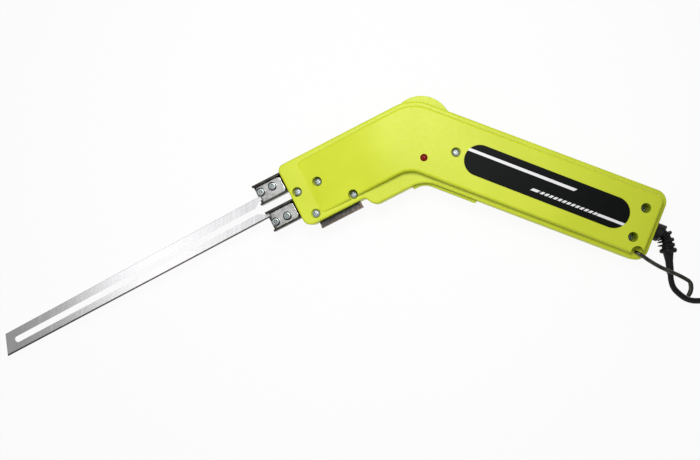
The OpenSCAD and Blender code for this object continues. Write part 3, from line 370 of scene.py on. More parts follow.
# Modelling helpers on bmesh; sizes in millimetres, angles in degrees
TINY, WELD, FLAT_ANGLE = 0.001, 0.002, 0.4
ROUND_FROM, ROUND_SHARP = 40, 50.0


def corner_reach(before, corner, after, radius):
    """How far from a corner its rounding starts."""
    return radius / math.tan((before - corner).angle(after - corner) / 2)


def sheet_of(corners, level, steps=8):
    """One flat face with rounded corners; a corner is (place, radius)."""
    bm = bmesh.new()
    places = [Vector(p) for p, _ in corners]
    verts = [bm.verts.new((p.x, p.y, level)) for p in places]
    bm.faces.new(verts)
    for i, vert in enumerate(verts):
        radius = corners[i][1]
        if radius > 0:
            reach = corner_reach(places[i - 1], places[i], places[(i + 1) % len(places)], radius)
            bmesh.ops.bevel(bm, geom=[vert], offset=reach, offset_type="ABSOLUTE", affect="VERTICES",
                            segments=steps, profile=0.5, material=-1)
    return bm


def raised(bm, height):
    """Extrude the only face upwards into a closed block."""
    made = bmesh.ops.extrude_face_region(bm, geom=bm.faces[:])
    top = [g for g in made["geom"] if isinstance(g, bmesh.types.BMVert)]
    bmesh.ops.translate(bm, verts=top, vec=(0, 0, height))
    bmesh.ops.recalc_face_normals(bm, faces=bm.faces[:])
    return bm


def block(corners, low, high, steps=8):
    return raised(sheet_of(corners, low, steps), high - low)


def inset(corners, gap):
    """The same outline, smaller by a gap all round, or larger if the gap is negative."""
    smaller = []
    for i, (place, radius) in enumerate(corners):
        before, after = corners[i - 1][0], corners[(i + 1) % len(corners)][0]
        e, f = (place - before).normalized(), (after - place).normalized()
        p, q = Vector((-e.y, e.x)), Vector((-f.y, f.x))
        bulges = e.x * f.y - e.y * f.x > 0
        smaller.append((place + (p + q) / (1 + p.dot(q)) * gap,
                        max(radius + (-gap if bulges else gap), 0.0)))
    return smaller


def level_edges(bm, level, tolerance=0.01):
    return [e for e in bm.edges if all(abs(v.co.z - level) < tolerance for v in e.verts)]


def soften(bm, edges, width, segments=3):
    """Round the edges off, or cut them to a chamfer with one segment."""
    bmesh.ops.bevel(bm, geom=edges, offset=width, offset_type="OFFSET", affect="EDGES", segments=segments,
                    profile=0.5, material=-1, clamp_overlap=True)
    bmesh.ops.remove_doubles(bm, verts=bm.verts[:], dist=TINY)
    bmesh.ops.dissolve_degenerate(bm, edges=bm.edges[:], dist=TINY)
    return bm


def closed(bm):
    """Cap the open end of a swept or cut shape; gives the cap."""
    made = bmesh.ops.contextual_create(bm, geom=[e for e in bm.edges if e.is_boundary])
    bmesh.ops.recalc_face_normals(bm, faces=bm.faces[:])
    return made["faces"][0]


def rod(radius, low, high, at=(0, 0), segments=40, tip=None):
    bm = bmesh.new()
    bmesh.ops.create_cone(bm, cap_ends=True, segments=segments, radius1=radius,
                          radius2=radius if tip is None else tip, depth=high - low)
    bmesh.ops.translate(bm, verts=bm.verts[:], vec=(at[0], at[1], (low + high) / 2))
    return bm


def box(low, high):
    bm = bmesh.new()
    bmesh.ops.create_cube(bm, size=1.0)
    low, high = Vector(low), Vector(high)
    bmesh.ops.scale(bm, verts=bm.verts[:], vec=high - low)
    bmesh.ops.translate(bm, verts=bm.verts[:], vec=(low + high) / 2)
    return bm


def turned(profile, segments=40):
    """Spin a profile of (radius, height) about the vertical."""
    bm = bmesh.new()
    verts = [bm.verts.new((r, 0, h)) for r, h in profile]
    edges = [bm.edges.new(pair) for pair in zip(verts, verts[1:])]
    bmesh.ops.spin(bm, geom=verts + edges, cent=(0, 0, 0), axis=(0, 0, 1), angle=math.tau, steps=segments,
                   use_merge=True)
    bmesh.ops.remove_doubles(bm, verts=bm.verts[:], dist=1e-4)
    bmesh.ops.recalc_face_normals(bm, faces=bm.faces[:])
    return bm


def moved(bm, matrix):
    bm.transform(matrix)
    if matrix.determinant() < 0:
        bmesh.ops.reverse_faces(bm, faces=bm.faces[:])
    return bm


def at(x, y, z=0.0, turn=0.0):
    return Matrix.Translation((x, y, z)) @ Matrix.Rotation(turn, 4, "Z")


def gathered(*parts):
    """Several meshes as one."""
    whole = bmesh.new()
    for part in parts:
        mesh = bpy.data.meshes.new("part")
        part.to_mesh(mesh)
        whole.from_mesh(mesh)
        bpy.data.meshes.remove(mesh)
        part.free()
    return whole


def as_object(bm, name):
    mesh = bpy.data.meshes.new(name)
    bm.to_mesh(mesh)
    bm.free()
    made = bpy.data.objects.new(name, mesh)
    scene.collection.objects.link(made)
    return made


def applied(obj):
    """A bmesh of the object with its modifiers, and the object is gone."""
    bpy.context.view_layer.update()
    ready = obj.evaluated_get(bpy.context.evaluated_depsgraph_get())
    bm = bmesh.new()
    bm.from_mesh(ready.to_mesh())
    ready.to_mesh_clear()
    mesh = obj.data
    bpy.data.objects.remove(obj)
    bpy.data.meshes.remove(mesh)
    return bm


def combined(bm, *steps):
    """Join or cut the mesh, in order; a step is (operation, tool)."""
    for operation, tool in steps:
        base, tool = as_object(bm, "base"), as_object(tool, "tool")
        change = base.modifiers.new("change", "BOOLEAN")
        change.operation, change.object, change.solver = operation, tool, "EXACT"
        change.use_self = True
        bm = applied(base)
        mesh = tool.data
        bpy.data.objects.remove(tool)
        bpy.data.meshes.remove(mesh)
        bmesh.ops.remove_doubles(bm, verts=bm.verts[:], dist=WELD)
    bmesh.ops.dissolve_limit(bm, angle_limit=math.radians(FLAT_ANGLE), verts=bm.verts[:], edges=bm.edges[:],
                             delimit={"NORMAL"})
    return bm


def piece(bm, name, finish, body, slot, *nodes, matrix=IN_METRES, sharp=32.0, round_edges=None):
    """Finish a mesh in millimetres as a piece that rides on a body and stands for CAD nodes."""
    if round_edges:
        corners = [e for e in bm.edges if e.calc_face_angle(0.0) > math.radians(ROUND_FROM)]
        soften(bm, corners, round_edges, 2)
        sharp = ROUND_SHARP
    made = as_object(moved(bm, matrix), name)
    made.data.materials.append(finish)
    made.data.shade_smooth()
    made.data.set_sharp_from_angle(angle=math.radians(sharp))
    weighting = made.modifiers.new("weighting", "WEIGHTED_NORMAL")
    weighting.keep_sharp = True
    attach(made, body)
    if nodes:
        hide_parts(*nodes)
    return made


# Cord: the lead, the coil and the tail on one line
CORD_D, COIL_MID_R, LOOP, LAYERS, LAYER_LOOPS = 4.0, 24.0, 5.0, 4, 3
COIL_OUT_R = COIL_MID_R + LOOP * LAYER_LOOPS / 2
BEND_R, BEND_ANGLE, COLLAR_END = 9.0, 45, 183.2
RELIEF_JOINT = handle(COLLAR_END, RELIEF_V)
BEND_MIDDLE = RELIEF_JOINT - BEND_R * aimed(BEND_ANGLE).xy
LEAN = math.radians(5.9)
TAIL_WAY = Vector((math.sin(LEAN), -math.cos(LEAN), 0))
EXIT = Vector((BEND_MIDDLE.x + BEND_R, BEND_MIDDLE.y, MID)) + TAIL_WAY * 20.0
LEAD = [(0, 0, 0), (0.54, -5.2, 0), (2.4, -10.1, -0.5), (6.2, -14, -1.6), (10.5, -17, -3.4),
        (15.4, -18.7, -5.5), (20.6, -19, -7.8), (25.8, -19, -10.2), (31.1, -19, -12.4), (36.3, -19, -14.4),
        (41.5, -19, -15.8), (46.8, -19, -16.7), (52, -19, -16.7)]
TAIL = [(0, 0, 0), (0, 6, 0), (0, 12, -1), (0, 18, -3.2), (0, 24, -5.7), (0, 30, -8.2), (0, 36, -10.4),
        (0, 42, -11.3), (0, 48, -11.3)]


def eased(points, parts=4):
    """A smooth line through given points."""
    points = [Vector(p) for p in points]
    line = []
    for i in range(len(points) - 1):
        a, b = points[max(i - 1, 0)], points[i]
        c, d = points[i + 1], points[min(i + 2, len(points) - 1)]
        for k in range(parts):
            t = k / parts
            line.append(0.5 * (2 * b + (c - a) * t + (2 * a - 5 * b + 4 * c - d) * t * t
                               + (3 * b - a - 3 * c + d) * t ** 3))
    return line + [points[-1]]


def coil_line(lead_end):
    """The coil's middle and its line, which winds in and out in turn and climbs between the layers."""
    centre = lead_end + Vector((CORD_D, COIL_OUT_R, 0))
    turns, period, per_turn = LAYERS * LAYER_LOOPS, 2 * LAYER_LOOPS, 24
    line = []
    for i in range(int((turns + 0.25) * per_turn) + 1):
        t = i / per_turn
        m = t % period
        step = turns - t if t > turns else m if m < LAYER_LOOPS else period - m
        climb = 0.0
        for k in range(1, LAYERS):
            x = max(0.0, min(1.0, (t - k * LAYER_LOOPS) / 0.5 + 0.5))
            climb += LOOP * x * x * (3 - 2 * x)
        angle, r = math.tau * t - math.pi / 2, COIL_OUT_R - LOOP * step
        line.append(centre + Vector((r * math.cos(angle), r * math.sin(angle), climb)))
    return centre, line


LEAD_LINE = eased([EXIT + Vector(p) for p in LEAD])
COIL_CENTRE, COIL_LINE = coil_line(LEAD_LINE[-1])
COIL_END = COIL_LINE[-1] + Vector((0, CORD_D, 0))
TAIL_LINE = eased([COIL_END + Vector(p) for p in TAIL])
PLUG_AT = TAIL_LINE[-1]
CORD_LINE = LEAD_LINE + COIL_LINE + TAIL_LINE


def make_cord():
    line = bpy.data.curves.new("power_cord", "CURVE")
    line.dimensions = "3D"
    line.bevel_depth = CORD_D / 2 * MM
    line.bevel_resolution = 4
    line.use_fill_caps = True
    spline = line.splines.new("POLY")
    spline.points.add(len(CORD_LINE) - 1)
    for point, place in zip(spline.points, CORD_LINE):
        point.co = (*(place * MM), 1)
    spline.use_smooth = True
    made = bpy.data.objects.new("power_cord", line)
    scene.collection.objects.link(made)
    line.materials.append(CORD)
    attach(made, "housing_group")
    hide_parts("cord_lead", "cord_coil", "cord_tail")
    return made


def cord_length():
    return sum((b - a).length for a, b in zip(CORD_LINE, CORD_LINE[1:])) * MM


def across_edges(bm):
    return [e for e in bm.edges if abs(e.verts[0].co.x - e.verts[1].co.x) > 5]


def make_tie():
    """A flat band round one side of the coil."""
    gap, thick, half_w = 0.6, 0.6, 3
    low_r, high_r = COIL_OUT_R - LOOP * 2.5 - CORD_D / 2 - gap, COIL_OUT_R - LOOP * 0.5 + CORD_D / 2 + gap
    low, high = -CORD_D / 2 - gap, LOOP * 3 + CORD_D / 2 + gap
    band = block([((-half_w, low_r - thick), 0), ((half_w, low_r - thick), 0),
                  ((half_w, high_r + thick), 0), ((-half_w, high_r + thick), 0)], low - thick, high + thick)
    soften(band, across_edges(band), 2.0, 4)
    hole = box((-half_w - 1, low_r, low), (half_w + 1, high_r, high))
    soften(hole, across_edges(hole), 1.4, 4)
    band = combined(band, ("DIFFERENCE", hole))
    move = Matrix.Scale(MM, 4) @ Matrix.Translation(COIL_CENTRE)
    return piece(band, "cord_tie_band", TIE, "housing_group", "tie_grey", "cord_tie", matrix=move)


def make_plug():
    """A flat plug with a ribbed neck, and its two round pins."""
    half_w, half_t, pin_gap = 17.65, 6.85, 9.3
    shape = [((-9, 0), 4), ((9, 0), 4), ((half_w, 12), 4), ((half_w, 25), 2), ((-half_w, 25), 2),
             ((-half_w, 12), 4)]
    body = block(shape, -half_t, half_t, 6)
    soften(body, level_edges(body, half_t) + level_edges(body, -half_t), 1.8, 4)
    neck = turned([(0, 0), (2.6, 0), (3.4, 0.4), (3.4, 1.6), (3.0, 2.0), (3.1, 3.2), (3.9, 3.6), (3.9, 5.0),
                   (3.4, 5.4), (3.6, 6.6), (4.6, 7.0), (4.9, 8.6), (5.2, 11.5), (0, 11.5)])
    moved(neck, spun(-90, "X"))
    moved(body, Matrix.Translation((0, 10, 0)))
    pins = []
    for side in (-1, 1):
        pin = turned([(0, 34), (2.0, 34), (2.0, 52.4), (1.7, 53.4), (1.0, 54.0), (0, 54.0)], 28)
        pins.append(moved(pin, at(side * pin_gap, 0) @ spun(-90, "X")))
    move = Matrix.Scale(MM, 4) @ Matrix.Translation(PLUG_AT)
    plug = piece(gathered(body, neck), "plug_shell", BLACK, "housing_group", "black_plastic", "plug_body",
                 matrix=move)
    prongs = piece(gathered(*pins), "plug_prongs", PIN_METAL, "housing_group", "pin_brass", "plug_pins",
                   matrix=move)
    return plug, prongs


# Housing; an outline's corner is (place, radius), and a screw is (place, height of its seat)
RIM = [(nose(NOSE_L, NOSE_V), 4.5), (nose(NOSE_L, -NOSE_V), 6.0), (nose(46.7, -NOSE_V), 2.5),
       (nose(43.0, -GUARD_V), 6.0), (meet(-GUARD_V, -HANDLE_V), 18.0), (handle(HANDLE_L, -HANDLE_V), 8.5),
       (handle(HANDLE_L, HANDLE_V), 8.5), (meet(NOSE_V, HANDLE_V), 27.0)]
PANEL_N, PANEL_H, REAR = NOSE_V - LEDGE_W, HANDLE_V - LEDGE_W, HANDLE_L - LEDGE_W
PANEL = [(nose(SLOPE_END, PANEL_N), 5.0), (nose(SLOPE_END, -PANEL_N), 5.0),
         (meet(-PANEL_N, -PANEL_H), 16.0), (handle(REAR, -PANEL_H), 5.0), (handle(REAR, PANEL_H), 5.0),
         (meet(PANEL_N, PANEL_H), 23.5)]
ROOM = [(nose(SLOPE_START, PANEL_N), 5.0), (nose(SLOPE_START, -PANEL_N), 5.0), *PANEL[2:]]
COIL_ROOM = [(nose(61.5, 17.3), 0), (nose(61.5, -17.3), 0), (nose(18, -17.3), 0), (nose(18, 17.3), 0)]
SCREWS = [(nose(86.28, 1.62), 5.2), (nose(70.73, 1.62), 5.2),
          (nose(RAIL_SCREW_US[0], RAIL_SCREW_V), 9.4), (nose(RAIL_SCREW_US[1], RAIL_SCREW_V), 6.2),
          (handle(32.74, 0), 14.5), (handle(163.15, 9.9), 4.5), (handle(162.1, -10.99), 4.5)]
NOSE_SCREWS, RAIL_SCREWS = 4, (2, 3)
SCREW_R, SCREW_CUT_R, POST_R = 1.75, 3.35, 4.3
PIVOT, DIAL, HOOK, LAMP_AT = (60.0, -18.0), (3.75, 8.9), (168.4, -19.5), (13.9, -10.9)
DIAL_R, LAMP_R, TRIGGER_PULL = 21.3, 2.5, 3
TRIGGER_HALF_T, TRIGGER_THICK, TRIGGER_OUT, TRIGGER_IN = 6.0, 4.8, 2.0, 5.0


def trigger_outline():
    """The trigger in the handle's directions: a strip along the handle, with its front bent to the nose."""
    bend = math.radians(NOSE_ANGLE + HANDLE_ANGLE)
    low, high = -HANDLE_V - TRIGGER_OUT, -HANDLE_V + TRIGGER_IN
    front_l, rear = 8.2, 57.5
    corner = meet(-GUARD_V - TRIGGER_OUT, low)
    u = corner.x * math.cos(math.radians(HANDLE_ANGLE)) - corner.y * math.sin(math.radians(HANDLE_ANGLE))

    def front(along, off):
        return Vector((u - along * math.cos(bend) - off * math.sin(bend),
                       low - along * math.sin(bend) + off * math.cos(bend)))
    inner = u - TRIGGER_THICK / math.sin(bend) + (TRIGGER_OUT + TRIGGER_IN) / math.tan(bend)
    return [(front(front_l, 0), 1.0), (Vector((u, low)), 10.0), (Vector((rear, low)), 1.0),
            (Vector((rear, high)), 1.0), (Vector((inner, high)), 1.0), (front(front_l, TRIGGER_THICK), 1.0)]


def raised_panel():
    """The panel, which falls to the ledge towards the nose, with the start of its slope blended."""
    bm = block(PANEL, 7.0, HALF_T)
    forward, near = Vector((*nose(1, 0), 0)), 0.1
    for step in range(9):
        bmesh.ops.bisect_plane(bm, geom=bm.verts[:] + bm.edges[:] + bm.faces[:], dist=1e-4, plane_no=forward,
                               plane_co=forward * (SLOPE_START + SLOPE_BLEND * (step / 4 - 1)))
    for vert in bm.verts:
        if vert.co.z > HALF_T - near:
            past = vert.co.dot(forward) - SLOPE_START
            if past <= SLOPE_BLEND:
                past = max(past + SLOPE_BLEND, 0.0) ** 2 / (4 * SLOPE_BLEND)
            vert.co.z -= past / (SLOPE_END - SLOPE_START) * (HALF_T - LEDGE_T)
    top = [e for e in bm.edges if all(v.co.z > LEDGE_T - near for v in e.verts) and len(e.link_faces) == 2
           and any(abs(f.normal.z) < 0.3 for f in e.link_faces)
           and any(f.normal.z > 0.5 for f in e.link_faces)]
    return soften(bm, top, 2.6, 6)


def openings():
    """What is cut from both halves: the room of the trigger, dial, relief, clamps and rail."""
    gap, window_v = 0.6, 8.4
    grown = block(inset(trigger_outline(), -gap), -TRIGGER_HALF_T - gap, TRIGGER_HALF_T + gap, 4)
    pulled = moved(grown.copy(), at(*PIVOT) @ spun(-TRIGGER_PULL) @ at(-PIVOT[0], -PIVOT[1]))
    wheel = rod(DIAL_R + gap, -4.1, 4.1, DIAL, 96)
    neck = moved(rod(5.05, 170, 178), at(0, RELIEF_V) @ spun(90, "Y"))
    windows = [box((-NOSE_L - 1, v - window_v, -2.3), (-NOSE_L + WALL + 1, v + window_v, 9.1))
               for _, v in CLAMPS]
    rail = box((-83.2, -24.2, -0.65), (-50.6, -19.8, 0.65))
    return ([moved(cut, TURN_HANDLE) for cut in (grown, pulled, wheel, neck)]
            + [moved(cut, TURN_NOSE) for cut in (*windows, rail)])


def screw_works():
    """What only the left half has: posts and holes for the screws, the hook and the lamp."""
    steps = []
    for i, (place, _) in enumerate(SCREWS):
        low, high = 0.6 if i in RAIL_SCREWS else 0.0, 10.8 if i < NOSE_SCREWS else 18.8
        steps.append(("UNION", rod(POST_R, low, high, place)))
    steps.append(("UNION", moved(rod(POST_R, 4.5, 11.0, HOOK), TURN_HANDLE)))
    for place, seat in SCREWS:
        steps.append(("DIFFERENCE", rod(SCREW_CUT_R, seat, HALF_T + 1, place)))
        steps.append(("DIFFERENCE", rod(SCREW_R, -1, HALF_T, place)))
    holes = (moved(rod(4.2, LEDGE_T - 0.4, HALF_T + 1), TURN_HANDLE @ at(*HOOK)),
             moved(rod(1.25, 0, HALF_T, HOOK), TURN_HANDLE),
             moved(rod(LAMP_R + 0.05, 0, HALF_T + 1, LAMP_AT), TURN_HANDLE))
    return steps + [("DIFFERENCE", hole) for hole in holes]


def housing_half(side):
    """One half of the housing: 1 for the left one, which lies above, and -1 for the right one."""
    rim = block(RIM, 0.0, LEDGE_T)
    soften(rim, level_edges(rim, LEDGE_T), 1.4, 4)
    soften(rim, level_edges(rim, 0.0), 0.22, 1)
    steps = [("UNION", raised_panel()),
             ("DIFFERENCE", block(inset(RIM, WALL), -1.0, LEDGE_T - WALL)),
             ("DIFFERENCE", block(inset(ROOM, WALL), -1.0, HALF_T - WALL)),
             ("DIFFERENCE", block(COIL_ROOM, -1.0, 12.1))]
    if side > 0:
        steps += screw_works()
    bm = moved(combined(rim, *steps), Matrix.Scale(side, 4, (0, 0, 1)))
    bm = combined(bm, *[("DIFFERENCE", cut) for cut in openings()])
    name = "housing_shell_left" if side > 0 else "housing_shell_right"
    node = "housing_left" if side > 0 else "housing_right"
    piece(bm, name, LIME, "housing_group", "lime_plastic", node, round_edges=0.3)


def make_trigger():
    """The trigger with an eye for its pin, stepped beside the eye."""
    eye_r, eye_top, pin_r = 4.2, 1.0, 1.55
    bm = block(trigger_outline(), -TRIGGER_HALF_T, TRIGGER_HALF_T, 6)
    soften(bm, level_edges(bm, TRIGGER_HALF_T) + level_edges(bm, -TRIGGER_HALF_T), 0.8, 3)
    eye = rod(eye_r, -TRIGGER_HALF_T, eye_top, PIVOT)
    groove = box((PIVOT[0] - 10, PIVOT[1] - 3.35, eye_top), (PIVOT[0] + 5, PIVOT[1] + 5, 7.0))
    bm = combined(bm, ("UNION", eye), ("DIFFERENCE", groove), ("DIFFERENCE", rod(pin_r, -7, 7, PIVOT)))
    piece(bm, "trigger_paddle", LIME, "trigger_group", "lime_plastic", "trigger", matrix=ON_HANDLE)


def make_dial():
    """A thumb wheel with a fine ribbed edge."""
    half_t, shaft_r, dip = 3.5, 3.05, 0.988
    bm = bmesh.new()
    ring = bmesh.ops.create_circle(bm, cap_ends=True, segments=240, radius=DIAL_R)["verts"]
    ring = sorted(ring, key=lambda v: math.atan2(v.co.y, v.co.x))
    bmesh.ops.scale(bm, verts=ring[::4], vec=(dip, dip, 1))
    bmesh.ops.translate(bm, verts=bm.verts[:], vec=(0, 0, -half_t))
    raised(bm, 2 * half_t)
    outer = [e for e in bm.edges if abs(e.verts[0].co.z - e.verts[1].co.z) < 0.01
             and all(abs(v.co.xy.length - DIAL_R + 0.1) < 0.2 for v in e.verts)]
    soften(bm, outer, 0.35, 2)
    bm = combined(bm, ("DIFFERENCE", rod(shaft_r, -4, 4)))
    piece(bm, "dial_wheel", LIME, "dial_group", "lime_plastic", "dial", matrix=ON_HANDLE @ at(*DIAL))


def make_label():
    half_l, half_h, end_r, top = 58.0, 10.5, 10.49, HALF_T + 0.4
    corners = ((-half_l, -half_h), (half_l, -half_h), (half_l, half_h), (-half_l, half_h))
    bm = block([(corner, end_r) for corner in corners], HALF_T, top, 16)
    soften(bm, level_edges(bm, top), 0.15, 2)
    piece(bm, "label_film", LABEL, "housing_group", "label_black", "label_plate",
          matrix=ON_HANDLE @ at(97, 0.1, 0, math.radians(-LABEL_TILT)))


def make_lamp():
    """A round lamp with a domed top and a collar inside the housing."""
    low, flange, flange_r = 15.6, (16.6, 17.6), 2.95
    level = HALF_T + 1.3 - LAMP_R
    dome = [(LAMP_R * math.cos(math.radians(a)), level + LAMP_R * math.sin(math.radians(a)))
            for a in range(0, 90, 10)]
    bm = turned([(0, low), (LAMP_R, low), (LAMP_R, flange[0]), (flange_r, flange[0]), (flange_r, flange[1]),
                 (LAMP_R, flange[1]), *dome, (0, level + LAMP_R)])
    piece(bm, "lamp_lens", LAMP, "housing_group", "lens_red", "led_lens", matrix=ON_HANDLE @ at(*LAMP_AT))


def cross_screw(length):
    """A screw with a domed head and a cross recess; its head stands on height 0."""
    head = turned([(0, -length), (1.1, -length), (1.45, -length + 0.5), (1.45, 0), (2.6, 0), (2.6, 1.15),
                   (2.45, 1.5), (2.0, 1.8), (1.2, 1.98), (0, 2.02)])
    arm_l, arm_w, floor_z = 1.65, 0.36, 0.75
    arms = []
    for turn in (0, 90):
        arm = box((-arm_l, -arm_w, floor_z), (arm_l, arm_w, 3))
        soften(arm, level_edges(arm, floor_z), 0.25, 1)
        arms.append(moved(arm, spun(turn)))
    return combined(head, *[("DIFFERENCE", arm) for arm in arms])


def socket_screw(length):
    """A screw with a low round head and a shallow hexagon socket; its head stands on height 0."""
    head = turned([(0, -length), (1.2, -length), (1.5, -length + 0.3), (1.5, 0), (3.0, 0), (3.0, 1.2),
                   (2.88, 1.65), (2.6, 2.0), (2.2, 2.17), (1.8, 2.2), (0, 2.2)])
    return combined(head, ("DIFFERENCE", rod(1.45, 1.9, 3, segments=6)),
                    ("DIFFERENCE", rod(0.8, 1.55, 1.95, tip=1.2)))


def copies(part, *places):
    whole = gathered(*[moved(part.copy(), place) for place in places])
    part.free()
    return whole


def clamp_places(height, turns):
    return [at(-u, v, height, turn) for (u, v), turn in zip(CLAMP_SPOTS, turns)]


def make_screws():
    turns = (0.4, 0.7, 1.05, 0.9, 0.6, 1.2, 0.2)
    bm = copies(cross_screw(14), *[at(p.x, p.y, seat, turn) for (p, seat), turn in zip(SCREWS, turns)])
    piece(bm, "housing_screw_set", SCREW_ZINC, "housing_group", "zinc_screw", "housing_screws")
    bm = copies(socket_screw(7.4), *clamp_places(PAD_TOP, (0.2, 0.5, 0.8, 0.1)))
    piece(bm, "clamp_screw_set", ZINC, "housing_group", "zinc_screw", "clamp_screws", matrix=ON_NOSE)
    nut_r, nut_low = 3.17, -4.4
    nut = rod(nut_r, nut_low, SHEET_LOW, segments=6)
    soften(nut, level_edges(nut, nut_low), 0.3, 2)
    nut = combined(nut, ("DIFFERENCE", rod(1.55, -5, 0)))
    bm = copies(nut, *clamp_places(0, (0.3, 0.1, 0.6, 0.9)))
    piece(bm, "clamp_nut_set", ZINC, "housing_group", "zinc_screw", "clamp_nuts", matrix=ON_NOSE)


def clamp_sheet():
    """A sheet folded up on both sides, with its folds rounded, and the tongue that goes into the housing."""
    half_w, low, high, length, thick = 7.4, -1.3, 8.8, 22.1, 1.4
    bm = bmesh.new()
    section = [(-half_w, high), (-half_w, low), (half_w, low), (half_w, high)]
    verts = [bm.verts.new((CLAMP_FRONT, y, z)) for y, z in section]
    edges = [bm.edges.new(pair) for pair in zip(verts, verts[1:])]
    made = bmesh.ops.extrude_edge_only(bm, edges=edges)["geom"]
    far = [g for g in made if isinstance(g, bmesh.types.BMVert)]
    bmesh.ops.translate(bm, verts=far, vec=(length, 0, 0))
    soften(bm, [e for e in bm.edges if len(e.link_faces) == 2], 1.2, 4)
    bmesh.ops.recalc_face_normals(bm, faces=bm.faces[:])
    bmesh.ops.solidify(bm, geom=bm.faces[:], thickness=thick)
    bmesh.ops.recalc_face_normals(bm, faces=bm.faces[:])
    lowest = min(vert.co.z for vert in bm.verts)
    bmesh.ops.translate(bm, verts=bm.verts[:], vec=(0, 0, SHEET_LOW - lowest))
    return gathered(bm, box((-95, -5, SHEET_LOW), (-74, 5, -BLADE_HALF_T)))


def clamp_pad():
    """The pressed plate on the blade's end."""
    front, rear, half_w = -111.5, -92.6, 6.4
    plate = block([((front, -half_w), 1.3), ((rear, -half_w), 3.0), ((rear, half_w), 3.0),
                   ((front, half_w), 1.3)], BLADE_HALF_T, PAD_TOP, 6)
    return soften(plate, level_edges(plate, PAD_TOP), 1.1, 5)


def make_clamps():
    for name, v in CLAMPS:
        spot = ON_NOSE @ at(0, v)
        piece(clamp_sheet(), name + "_clamp_sheet", CLAMP_STEEL, "housing_group", "dark_steel",
              name + "_clamp_channel", matrix=spot, round_edges=0.2)
        piece(clamp_pad(), name + "_clamp_pad", PLATE_STEEL, "housing_group", "bright_steel",
              name + "_clamp_plate", matrix=spot)


def make_blade():
    """A slotted hairpin with a ground lower edge; the slot is wider between the clamps."""
    tail, slot_end, slot_v, wide_v, slot_r = 19, -200.14, 2.1, 5.2, 2.0
    bm = sheet_of([((-BLADE_L, -BLADE_TIP_V), 0.3), ((0, -BLADE_ROOT_V), 0), ((tail, -BLADE_ROOT_V), 0),
                   ((tail, BLADE_ROOT_V), 0), ((0, BLADE_ROOT_V), 0), ((-BLADE_BACK_L, BLADE_TIP_V), 0.5)],
                  -BLADE_HALF_T)
    raised(bm, 2 * BLADE_HALF_T)
    edge = [e for e in level_edges(bm, BLADE_HALF_T)
            if max(v.co.y for v in e.verts) < -7.3 and e.calc_length() > 50]
    soften(bm, edge, 0.75, 1)
    half = [((slot_end, -slot_v), slot_r), ((-5.5, -slot_v), 0), ((-1, -wide_v), 0), ((tail + 1, -wide_v), 0)]
    gap = block(half + [((x, -y), r) for (x, y), r in reversed(half)], -2, 2)
    bm = combined(bm, ("DIFFERENCE", gap))
    piece(bm, "blade_strip", BLADE, "housing_group", "blade_steel", "blade",
          matrix=ON_NOSE @ at(*BLADE_AT, 0, math.radians(BLADE_TILT)), round_edges=0.12)


def make_rail():
    """A flat strip under the nose with a raised lip along its lower and rear edges."""
    front, rear, low, half_t, lip_top = -82.9, -50.9, -28.1, 0.6, 6.0
    web = box((front, low, -half_t), (rear, -13.7, half_t))
    lip = block([((front, low), 1.0), ((rear, low), 1.0), ((rear, -23.5), 0), ((front, -23.5), 0)],
                -half_t, lip_top, 3)
    hollow = box((-84, low + 2 * half_t, half_t), (rear - 2 * half_t, -23, lip_top + 1))
    bm = combined(lip, ("DIFFERENCE", hollow), ("UNION", web))
    for u in RAIL_SCREW_US:
        bm = combined(bm, ("DIFFERENCE", rod(SCREW_R, -2, 2, (-u, RAIL_SCREW_V))))
    piece(bm, "rail_strip", RAIL, "housing_group", "rail_steel", "guide_rail", matrix=ON_NOSE, round_edges=0.2)


def ring_of(radius, segments=20):
    """A flat round face to sweep from; gives the mesh and the face."""
    bm = bmesh.new()
    bmesh.ops.create_circle(bm, cap_ends=True, segments=segments, radius=radius)
    return bm, next(iter(bm.faces))


def onward(bm, face, vec, scale=1.0):
    """Carry the end face straight on."""
    fresh = bmesh.ops.extrude_discrete_faces(bm, faces=[face])["faces"][0]
    middle = fresh.calc_center_median()
    for vert in fresh.verts:
        vert.co = middle + (vert.co - middle) * scale + Vector(vec)
    return fresh


def round_bend(bm, face, centre, axis, angle, steps):
    """Carry the end face round a bend."""
    for _ in range(steps):
        fresh = bmesh.ops.extrude_discrete_faces(bm, faces=[face])["faces"][0]
        bmesh.ops.rotate(bm, verts=fresh.verts[:], cent=centre, matrix=spun(angle / steps, axis, 3))
        face = fresh
    return face


def veer(bm, face, spot, heading, angle, length):
    """Carry the end face along a slow bend in the plan; gives the new face, place and heading."""
    radius = length / math.radians(abs(angle))
    side = math.copysign(radius, angle)
    turn = math.radians(heading)
    middle = spot + side * Vector((-math.sin(turn), math.cos(turn), 0))
    face = round_bend(bm, face, middle, "Z", angle, 5)
    spot = middle + spun(angle, size=3) @ (spot - middle)
    return face, spot, heading + angle


